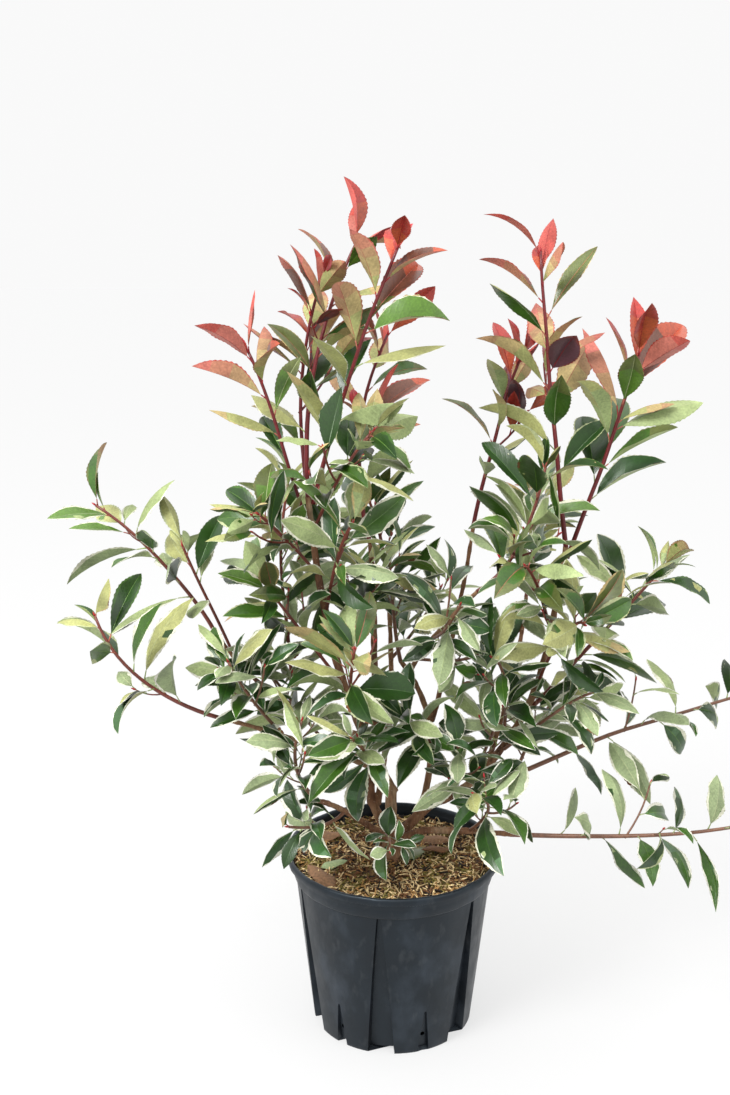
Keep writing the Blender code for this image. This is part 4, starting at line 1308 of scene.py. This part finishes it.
def outline(share, foot, tip):
    """How wide the blade is at a share of its length, 1 where it is widest."""
    peak = foot / (foot + tip)
    return share ** foot * (1.0 - share) ** tip / (peak ** foot * (1.0 - peak) ** tip)


def leaf_spot(leaf, form, share, across, side):
    """Where a point of the flat leaf comes to lie on the bent, folded and waved one."""
    centre, forward, normal = leaf_line(leaf, form.stalk + (1.0 - form.stalk) * share)
    over = forward.cross(normal)
    turn = form.twist * share
    over, normal = (
        over * math.cos(turn) + normal * math.sin(turn),
        normal * math.cos(turn) - over * math.sin(turn),
    )
    half = 0.5 * leaf.width * form.width * outline(share, form.foot, form.tip)
    centre = centre - normal * (form.droop * leaf.length * share ** 3)
    normal = normal * form.face
    reach = abs(across)
    if 0.0 < reach < RIB_REACH:
        out = math.copysign(min(RIB_HALF * (1.0 - RIB_TAPER * share), RIB_MOST * half), across)
        lift = form.fold * abs(out) + side * LEAF_HALF_THICK
        lift -= RIB_GROOVE if side > 0.0 else RIB_RAISE * (1.0 - share)
    else:
        out = across * half
        phase = form.phase + (FAR_SIDE_PHASE if across > 0.0 else 0.0)
        ripple = math.sin(2.0 * math.pi * (form.waves * share + phase))
        lift = half * (form.fold * reach - form.cup * reach ** 2 + form.wave * ripple * reach ** 2)
        lift += side * LEAF_HALF_THICK
    bend = form.sweep * share ** 2 * leaf.length
    return centre + over * (out + bend) + normal * lift


def deal_finishes(level, rules, chance):
    """A rule that names the finish of any side, zone and row of one leaf."""
    upper, lower = (Side(*chance.choice(choices)) for choices in LOOKS[2 * level:2 * level + 2])
    shifts = [chance.uniform(*TONE_SHIFT) for _ in range(4)]
    patches = set()
    if level == 0 and chance.random() < PATCHED:
        patches = {(chance.random() < 0.5, chance.randrange(ROWS)) for _ in range(PATCHES)}
    brown = set()
    if chance.random() < rules.spots:
        brown = {chance.randrange(SPOTS_FROM, ROWS) for _ in range(SPOTS)}

    def finish(above, zone, row, right):
        look = upper if above else lower
        if zone == RIB:
            return look.rib
        if zone == MARGIN:
            return "brown_spot" if row in brown and right else look.margin
        if above and (right, row) in patches:
            return "grey_green"
        chain = look.chain.split()
        step = int((row + 0.5 + shifts[2 * above + right]) / ROWS * len(chain))
        return chain[max(0, min(len(chain) - 1, step))]

    return finish


def grown_leaf(leaf, room, rules, chance):
    """The leaf at its full length, or shorter where it would leave its mass's room or come to the pot."""
    low, high = room
    full = chance.uniform(*rules.long)
    for share in (full, 0.5 + 0.5 * full, 1.0):
        longer = leaf._replace(length=leaf.length * share)
        ends = [leaf_line(longer, part)[0] for part in WATCHED_PARTS]
        if all(over_pot(end) and low[i] <= end[i] <= high[i] for end in ends for i in range(3)):
            break
    return longer


def chance_form(rules, chance):
    """How one leaf is folded, waved, twisted and bent, and which side of it looks up."""
    return Form(
        stalk=chance.uniform(*STALK_SHARE),
        fold=chance.uniform(*rules.fold),
        cup=chance.uniform(*CUP),
        wave=chance.uniform(*WAVE),
        waves=chance.uniform(*WAVES),
        phase=chance.random(),
        twist=math.radians(chance.uniform(*TWIST)),
        sweep=chance.uniform(*SWEEP),
        droop=chance.uniform(*DROOP),
        width=chance.uniform(*rules.width),
        foot=chance.uniform(*OUTLINE_FOOT),
        tip=chance.uniform(*OUTLINE_TIP),
        face=-1.0 if chance.random() < rules.flipped else 1.0,
    )


def add_leaf(foliage, stems, leaf, level, rules, chance):
    """One fine leaf with its stalk."""
    form = chance_form(rules, chance)
    finish = deal_finishes(level, rules, chance)
    bm = copied(LEAF)
    for face in bm.faces:
        side, rest = divmod(face.material_index, ZONES * ROWS)
        zone, row = divmod(rest, ROWS)
        right = face.calc_center_median().y > 0.0
        face.material_index = foliage.place_of(finish(side == 0, zone, row, right))
    inner, outer = rules.margin
    for vert in bm.verts:
        share, across, side = vert.co
        if RIB_REACH < abs(across) < BLADE_REACH:
            across = math.copysign(inner + (outer - inner) * chance.random() ** MARGIN_EASE, across)
        vert.co = drifted(leaf_spot(leaf, form, share, across, side))
    if form.face < 0.0:
        bmesh.ops.reverse_faces(bm, faces=bm.faces)
    foliage.add(bm)
    points = [drifted(leaf_line(leaf, form.stalk * share)[0]) for share in STALK_SPOTS]
    stems.add(loft(STALK_SIDES, cross_places(Run(points, STALK_RADII, None))), STALK_TONES[level])


def add_stem(stems, run, kind, finish):
    """A round stem along a run, which starts a little inside its host and has a drift in it."""
    count, sides, share = kind
    fine = finer(run, count)
    behind = fine.points[0] - directions(fine.points)[0] * STEM_SUNK
    points = [drifted(point) for point in [behind] + fine.points]
    radii = [radius * share for radius in fine.radii[:1] + fine.radii]
    stems.add(loft(sides, cross_places(Run(points, radii, None))), finish)


def add_bud(stems, run):
    """A small pointed bud that ends a run."""
    forward = directions(run.points)[-1]
    foot = run.points[-1]
    points = [drifted(foot + forward * (BUD_LENGTH * share)) for share, _ in BUD_RINGS]
    radii = [BUD_RADIUS * part for _, part in BUD_RINGS]
    stems.add(loft(STALK_SIDES, cross_places(Run(points, radii, None))), "bud_red")


# Crown

def rules_of(name, shoot):
    """The fine growth of a shoot: its own where it has one, else that of its stage."""
    rules = FINE.get(name, FINE[shoot.stage])
    return rules._replace(**SPARSE_GROWTH) if name in SPARSE else rules


def tip_tuft(name, stem, shoot, rules, crowd, chance):
    """Small young leaves that stand close and upright round a stem's tip."""
    leaves = []
    turn = chance.uniform(0.0, 2.0 * math.pi)
    small = shoot.length * rules.tuft_small
    along = directions(stem.points)[-1]
    for i in range(rules.tuft):
        share = TUFT_START + (1.0 - TUFT_START) * i / rules.tuft
        leaf = leaf_on(stem, share, turn + i * GOLDEN_ANGLE, shoot.stage, small, chance)
        forward = (leaf.forward + along * TUFT_UPRIGHT).normalized()
        normal = (leaf.normal - leaf.normal.project(forward)).normalized()
        leaf = leaf._replace(forward=forward, normal=normal)
        shell = leaf_solid(leaf)
        if crowd.is_free(shell, name):
            crowd.add(shell, None)
            leaves.append(leaf)
        else:
            shell.free()
    return leaves


def room_of(name):
    """The lowest and highest corners of the room that a mass may fill."""
    low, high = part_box(name)
    return low - Vector((ROOM, ROOM, ROOM)), high + Vector((ROOM, ROOM, ROOM))


def grow_fine(name, stem, shoot, rules, crowd, chance):
    """Finer twigs and small leaves on a stem, within the room of its own solid."""
    crowd.room = room_of(name)
    twigs = []
    leaves = tip_tuft(name, stem, shoot, rules, crowd, chance)
    for i in range(rules.twigs):
        share = (i + chance.uniform(*FINE_PLAY)) / (rules.twigs + 1.0)
        twig = side_twig(stem, share, METRE, FINE_LENGTHS, FINE_RADII, chance)
        shell = loft(TWIG_SIDES, cross_places(twig))
        if not crowd.is_free(shell, name):
            shell.free()
            continue
        crowd.add(shell, name)
        twigs.append(twig)
        small = shoot.length * rules.small
        leaves += grow_leaves(twig, name, rules.leaves, small, shoot.stage, crowd, chance)
    small = shoot.length * rules.filler_small
    leaves += grow_leaves(stem, name, rules.fillers, small, shoot.stage, crowd, chance)
    crowd.room = None
    return twigs, leaves


def leaf_level(leaf, stem, twigs, rules, chance):
    """Which look a leaf has, by how near a growing tip it stands."""
    away = min(
        [(leaf.root - stem.points[-1]).length]
        + [(leaf.root - twig.points[-1]).length + TWIG_OLDER for twig in twigs]
    )
    oldest, youngest = rules.levels
    level = max(oldest, youngest - away / LEVEL_FALL) + chance.uniform(*LEVEL_PLAY)
    return max(0, min(len(LOOKS) // 2 - 1, round(level)))


def grow_limbs(crowd):
    """The runs of arms and boughs and a search tree of each, as the solids have them."""
    shell = copied(NODES["trunk"].data)
    trunk_tree = BVHTree.FromBMesh(shell)
    crowd.add(shell, "trunk")
    trees = {name: trunk_tree for name in ARMS}
    runs = {}
    for name, arm in ARMS.items():
        runs[name] = curved_run(
            ARM_FOOT, Vector(arm.via), Vector(arm.tip), arm.thick, arm.thin, BOUGH_POINTS
        )
    for name, bough in BOUGHS.items():
        start = on_run(runs[bough.host], bough.along)[0]
        runs[name] = seated_run(
            start, Vector(bough.via), Vector(bough.tip), bough.thick, bough.thin, BOUGH_POINTS,
            BOUGH_SIDES, trees[bough.host],
        )
        shell = loft(BOUGH_SIDES, cross_places(runs[name]))
        trees[name] = BVHTree.FromBMesh(shell)
        crowd.add(shell, name)
    return runs, trees


def make_crown():
    """All stems, twigs and leaves, in a foliage piece for each stage and one piece of stems."""
    crowd = Crowd()
    runs, trees = grow_limbs(crowd)
    stems = {name: grow_stem(name, shoot, runs, trees, crowd) for name, shoot in SHOOTS.items()}
    grown = {}
    for place, (name, shoot) in enumerate(SHOOTS.items()):
        grown[name] = dress_stem(name, stems[name], shoot, crowd, SEED + place)
    foliage = {stage: Joined() for stage in STAGES}
    wood = Joined()
    for place, (name, shoot) in enumerate(SHOOTS.items()):
        chance = random.Random(SEED + place)
        stem = stems[name]
        rules = rules_of(name, shoot)
        twigs, leaves = grown[name]
        fine_twigs, fine_leaves = grow_fine(name, stem, shoot, rules, crowd, chance)
        finish = STEM_FINISHES[shoot.stage]
        add_stem(wood, stem, ROUND_STEM, finish)
        add_bud(wood, stem)
        for twig in twigs + fine_twigs:
            add_stem(wood, twig, ROUND_TWIG, finish)
            add_bud(wood, twig)
        room = room_of(name)
        for leaf in leaves + fine_leaves:
            level = leaf_level(leaf, stem, twigs + fine_twigs, rules, chance)
            leaf = grown_leaf(leaf, room, rules, chance)
            add_leaf(foliage[shoot.stage], wood, leaf, level, rules, chance)
    for stage, joined in foliage.items():
        joined.piece("leaves_" + stage, "leaves_" + stage, names_at(stage))
    wood.piece("twigs_and_buds", "bark", list(SHOOTS))
    return runs


def names_at(stage):
    """The shoots of one stage."""
    return [name for name, shoot in SHOOTS.items() if shoot.stage == stage]


# Bark

def make_bark(runs):
    """Trunk, arms and boughs as one skin with the bark's relief."""
    joined = Joined()
    flare = Run([Vector((0.0, 0.0, z)) for z, _ in TRUNK_FLARE], [radius for _, radius in TRUNK_FLARE], None)
    joined.add(loft(BARK_SIDES, cross_places(flare)), "bark")
    for run in runs.values():
        fine = finer(run, BARK_POINTS)
        behind = fine.points[0] - directions(fine.points)[0] * fine.radii[0] * BARK_SUNK
        points = [drifted(point) for point in [behind] + fine.points]
        radii = fine.radii[:1] + fine.radii
        joined.add(loft(BARK_SIDES, cross_places(Run(points, radii, None))), "bark")
    bark = joined.piece("bark", "bark", ["trunk"] + list(BOUGHS))
    remesh = bark.modifiers.new("skin", "REMESH")
    remesh.mode = "VOXEL"
    remesh.voxel_size = BARK_VOXEL
    depsgraph = bpy.context.evaluated_depsgraph_get()
    skin = bpy.data.meshes.new_from_object(bark.evaluated_get(depsgraph))
    bark.modifiers.clear()
    bm = copied(skin)
    for _ in range(BARK_SMOOTHINGS):
        bmesh.ops.smooth_vert(
            bm, verts=bm.verts, factor=0.5, use_axis_x=True, use_axis_y=True, use_axis_z=True
        )
    bm.normal_update()
    for vert in bm.verts:
        vert.co = vert.co + vert.normal * bark_relief(vert.co)
    for face in bm.faces:
        face.smooth = True
    bm.to_mesh(bark.data)
    bm.free()
    bpy.data.meshes.remove(skin)


def bark_relief(point):
    """How far the bark stands out at a place: long ridges and broader knots."""
    spot = Vector([part * scale for part, scale in zip(point, RIDGE_SCALES)])
    ridge = noise.noise(spot) * RIDGE_HEIGHT
    knot = noise.noise(point * KNOT_SCALE) * KNOT_HEIGHT
    return ridge + knot


# Pot

def plan_columns(z):
    """The turns and depths of one sector of the pot's wall at a height: a flute, then a notch."""
    sector = 2.0 * math.pi / SECTORS
    flute = max(0.0, 1.0 - z / COLLAR_Z)
    notch = max(0.0, 1.0 - z / NOTCH_TOP)
    depths = [
        depth * (FIRST_DEPTH + (1.0 - FIRST_DEPTH) * share) if share > 0.0 else 0.0
        for depth, share in ((FLUTE_DEPTH, flute), (NOTCH_DEPTH, notch))
    ]
    columns = []
    for centre, half, depth, share in (
        (0.0, FLUTE_HALF_ANGLE, depths[0], flute), (0.5 * sector, NOTCH_HALF_ANGLE, depths[1], notch),
    ):
        half = half * (APEX_SHARE + (1.0 - APEX_SHARE) * share)
        for turn, deep in (
            (-half - SIDE_ANGLE, 0.0), (-half - 0.5 * SIDE_ANGLE, 0.5), (-half, 1.0), (0.0, 1.0),
            (half, 1.0), (half + 0.5 * SIDE_ANGLE, 0.5), (half + SIDE_ANGLE, 0.0),
        ):
            columns.append((centre + turn, deep * depth, deep))
        last = centre + half + SIDE_ANGLE
        ahead = 0.5 * sector - (NOTCH_HALF_ANGLE if centre == 0.0 else FLUTE_HALF_ANGLE) - SIDE_ANGLE
        for part in LAND_PARTS:
            columns.append((last + (centre + ahead - last) * part, 0.0, 0.0))
    return columns


def pot_ring(bm, z, radius, arched):
    """A ring of vertices of the pot's plan; the arched foot ring rises into flutes and notches."""
    columns = plan_columns(z)
    made = bmesh.ops.create_circle(bm, segments=SECTORS * len(columns), radius=radius)["verts"]
    for i, vert in enumerate(made):
        turn, depth, deep = columns[i % len(columns)]
        angle = FLUTE_TURN + 2.0 * math.pi / SECTORS * (i // len(columns)) + turn
        away = radius - depth
        vert.co = (away * math.cos(angle), away * math.sin(angle), z + arched * deep)
    return made


def body_radius(z):
    """The radius of the pot's tapered wall between its flutes."""
    return BASE_RADIUS + (BODY_TOP_RADIUS - BASE_RADIUS) * z / COLLAR_Z


def pot_rings():
    """The height, radius and foot's rise of each ring of the skin, from floor to floor."""
    rings = [(FLOOR_LIFT, radius, 0.0) for radius in FLOOR_RADII]
    rings += [(0.0, FOOT_INNER, FOOT_ARCH), (0.0, FOOT_OUTER, FOOT_ARCH)]
    rings += [(FOOT_EDGE_Z, body_radius(FOOT_EDGE_Z), FOOT_ARCH)]
    rings += [(z, body_radius(z), 0.0) for z in BODY_HEIGHTS]
    rings += [(z, radius, 0.0) for z, radius in COLLAR_AND_LIP]
    return rings + [(z, body_radius(z) - WALL, 0.0) for z in BODY_HEIGHTS[::-1]]


def make_pot():
    """The pot's skin: feet, fluted wall, collar, rolled lip and inner wall, with drain holes."""
    bm = bmesh.new()
    loops = [pot_ring(bm, z, radius, arched) for z, radius, arched in pot_rings()]
    bm.verts.ensure_lookup_table()
    count = len(loops[0])
    for lower, upper in zip(loops, loops[1:]):
        pairs = [(ring[i], ring[(i + 1) % count]) for ring in (lower, upper) for i in range(count)]
        bmesh.ops.bridge_loops(bm, edges=[bm.edges.get(pair) for pair in pairs])
    bmesh.ops.contextual_create(bm, geom=loops[0])
    bmesh.ops.contextual_create(bm, geom=loops[-1])
    bmesh.ops.recalc_face_normals(bm, faces=bm.faces)
    for face in bm.faces:
        face.smooth = True
    mesh = kept_mesh(bm, "pot_skin")
    mesh.set_sharp_from_angle(angle=POT_SHARP)
    mesh.materials.append(FINISHES["pot_plastic"])
    pot = placed("pot_skin", mesh)
    settle(pot, ["pot"])
    cut_drain_holes(pot)


def cut_drain_holes(pot):
    """A round hole beside each notch, low in the wall."""
    cutters = bmesh.new()
    for i in range(SECTORS):
        turn = Matrix.Rotation(FLUTE_TURN + (i + DRAIN_SHARE) * 2.0 * math.pi / SECTORS, 4, "Z")
        out = Matrix.Translation((BASE_RADIUS, 0.0, DRAIN_Z)) @ Matrix.Rotation(math.radians(90.0), 4, "Y")
        bmesh.ops.create_cone(
            cutters, cap_ends=True, segments=DRAIN_SIDES, radius1=DRAIN_RADIUS, radius2=DRAIN_RADIUS,
            depth=DRAIN_DEPTH, matrix=turn @ out,
        )
    tool = placed("drain_cutters", kept_mesh(cutters, "drain_cutters"))
    cut = pot.modifiers.new("drain_holes", "BOOLEAN")
    cut.operation = "DIFFERENCE"
    cut.object = tool
    cut.solver = "EXACT"
    depsgraph = bpy.context.evaluated_depsgraph_get()
    depsgraph.update()
    done = bpy.data.meshes.new_from_object(pot.evaluated_get(depsgraph))
    pot.modifiers.clear()
    pot.data = done
    bpy.data.objects.remove(tool)


# Soil and litter

def soil_height(x, y):
    """How high the soil lies at a place, a little heaped round the trunk."""
    away = math.hypot(x, y)
    height = SOIL_TOP - SOIL_SUNK + HEAP_HEIGHT * math.exp(-(away / HEAP_REACH) ** 2)
    for scale, depth, layer in SOIL_RELIEF:
        height += noise.noise(Vector((x * scale, y * scale, layer))) * depth
    return height


def make_soil():
    """The filled pot's soil, one closed turned solid with a rough top."""
    bm = bmesh.new()
    profile = list(SOIL_SIDE)
    profile += [(SOIL_EDGE * (1.0 - i / SOIL_RINGS), SOIL_TOP) for i in range(SOIL_RINGS + 1)]
    verts = [bm.verts.new((radius, 0.0, z)) for radius, z in profile]
    edges = [bm.edges.new(pair) for pair in zip(verts, verts[1:])]
    bmesh.ops.spin(
        bm, geom=verts + edges, cent=(0.0, 0.0, 0.0), axis=(0.0, 0.0, 1.0), angle=2.0 * math.pi,
        steps=SOIL_STEPS, use_merge=True,
    )
    bmesh.ops.remove_doubles(bm, verts=bm.verts, dist=0.00005)
    for vert in bm.verts:
        if vert.co.z > SOIL_TOP - SOIL_SUNK:
            vert.co.z = soil_height(vert.co.x, vert.co.y)
    bmesh.ops.recalc_face_normals(bm, faces=bm.faces)
    block = Joined()
    block.add(bm, "soil")
    block.piece("soil_block", "soil", ["soil"])


def soil_place(reach, chance):
    """A chance place on the soil, up to a reach from its middle."""
    away = reach * math.sqrt(chance.random())
    angle = chance.uniform(0.0, 2.0 * math.pi)
    return away * math.cos(angle), away * math.sin(angle)


def sliver_template():
    """A short flat fibre, closed, with a bend in the middle."""
    bm = bmesh.new()
    bmesh.ops.create_cube(bm, size=1.0)
    long_edges = [edge for edge in bm.edges if abs(edge.verts[0].co.x - edge.verts[1].co.x) > 0.5]
    bmesh.ops.subdivide_edges(bm, edges=long_edges, cuts=2)
    for vert in bm.verts:
        vert.co.y *= SLIVER_END + (1.0 - SLIVER_END) * (1.0 - abs(vert.co.x))
        vert.co.z += SLIVER_BOW * (0.25 - vert.co.x ** 2)
    return kept_mesh(bm, "sliver_template")


def scatter_slivers(litter, chance):
    """Fibres and moss strewn on the soil; one that would reach past its edge is left out."""
    sliver = sliver_template()
    for _ in range(LITTER_COUNT):
        x, y = soil_place(LITTER_REACH, chance)
        size = [chance.uniform(*limits) for limits in (SLIVER_LENGTHS, SLIVER_WIDTHS, SLIVER_HEIGHTS)]
        turn = Matrix.Rotation(chance.uniform(0.0, 2.0 * math.pi), 4, "Z")
        tip = Matrix.Rotation(math.radians(chance.gauss(0.0, SLIVER_TIP)), 4, "Y")
        roll = Matrix.Rotation(chance.uniform(*SLIVER_ROLL), 4, "X")
        rise = soil_height(x, y) + chance.uniform(*SLIVER_RISE)
        place = Matrix.Translation((x, y, rise)) @ turn @ tip @ roll @ Matrix.Diagonal((*size, 1.0))
        mossy = noise.noise(Vector((x * MOSS_SCALE, y * MOSS_SCALE, MOSS_LAYER))) > MOSS_FROM
        tone = chance.choice(MOSSY if mossy else FIBROUS)
        bm = copied(sliver)
        bmesh.ops.transform(bm, matrix=place, verts=bm.verts)
        if max(math.hypot(vert.co.x, vert.co.y) for vert in bm.verts) > SOIL_EDGE:
            bm.free()
        else:
            litter.add(bm, tone)


def scatter_crumbs(litter, chance):
    """Uneven crumbs of soil and moss."""
    for _ in range(CRUMB_COUNT):
        x, y = soil_place(CRUMB_REACH, chance)
        bm = bmesh.new()
        bmesh.ops.create_icosphere(bm, subdivisions=1, radius=chance.uniform(*CRUMB_RADII))
        for vert in bm.verts:
            vert.co *= chance.uniform(*CRUMB_PLAY)
        bmesh.ops.translate(bm, vec=(x, y, soil_height(x, y) + CRUMB_RISE), verts=bm.verts)
        litter.add(bm, chance.choice(CRUMB_TONES))


def lay_fallen_leaves(litter, chance):
    """Old leaves that lie on the soil, each in one tone."""
    for x, y, angle, length, tone in FALLEN_LEAVES:
        root = Vector((x, y, soil_height(x, y) + FALLEN_LIFT))
        heading = math.radians(angle)
        forward = Vector((math.cos(heading), math.sin(heading), FALLEN_RISE)).normalized()
        normal = (UP - UP.project(forward)).normalized()
        leaf = Leaf(root, forward, normal, length, length * LEAF_SPREAD, FALLEN_ARCH)
        form = FALLEN_FORM._replace(phase=chance.random())
        bm = copied(LEAF)
        for vert in bm.verts:
            vert.co = leaf_spot(leaf, form, *vert.co)
        litter.add(bm, tone)


def make_litter():
    """Moss, fibres, crumbs and old leaves on the soil."""
    chance = random.Random(SEED)
    litter = Joined()
    scatter_slivers(litter, chance)
    scatter_crumbs(litter, chance)
    lay_fallen_leaves(litter, chance)
    litter.piece("litter", "soil", ["soil"])


# Room

def make_floor():
    """A wide pale floor that glows a little."""
    bm = bmesh.new()
    bmesh.ops.create_grid(bm, x_segments=1, y_segments=1, size=FLOOR_HALF)
    mesh = kept_mesh(bm, "floor")
    paint = Finish("pale_floor", FLOOR_ROUGHNESS, 0.0)
    paint.give("Base Color", FLOOR_TONE)
    paint.give("Emission Color", WHITE)
    paint.give("Emission Strength", FLOOR_GLOW)
    mesh.materials.append(paint.material)
    placed("floor", mesh)


def make_sky():
    """An even white sky, brighter overhead."""
    world = bpy.data.worlds.new("white_studio")
    world.use_nodes = True
    nodes = world.node_tree.nodes
    links = world.node_tree.links
    parts = nodes.new("ShaderNodeSeparateXYZ")
    rise = nodes.new("ShaderNodeMapRange")
    for socket, value in zip(rise.inputs[1:5], SKY_RISE):
        socket.default_value = value
    links.new(nodes.new("ShaderNodeTexCoord").outputs["Generated"], parts.inputs[0])
    links.new(parts.outputs["Z"], rise.inputs[0])
    links.new(rise.outputs[0], nodes["Background"].inputs["Strength"])
    nodes["Background"].inputs["Color"].default_value = WHITE
    bpy.context.scene.world = world


def make_lights():
    """Soft round lights that look at the middle of the plant."""
    for name, place, size, power in LIGHTS:
        lamp = bpy.data.lights.new(name, "AREA")
        lamp.shape = "DISK"
        lamp.size = size
        lamp.energy = power
        made = placed(name, lamp)
        made.location = place
        made.rotation_euler = (AIM - Vector(place)).to_track_quat("-Z", "Y").to_euler()


def make_camera():
    """The camera, in front of the plant and tipped down to it."""
    lens = bpy.data.cameras.new("camera")
    lens.lens = LENS
    lens.sensor_width = SENSOR
    camera = placed("camera", lens)
    camera.location = CAMERA_PLACE
    camera.rotation_euler = (math.radians(90.0 - CAMERA_DIP), 0.0, 0.0)
    bpy.context.scene.camera = camera
    bpy.context.scene.view_settings.view_transform = "Standard"


make_floor()
make_sky()
make_lights()
make_camera()
make_pot()
make_soil()
make_litter()
make_bark(make_crown())
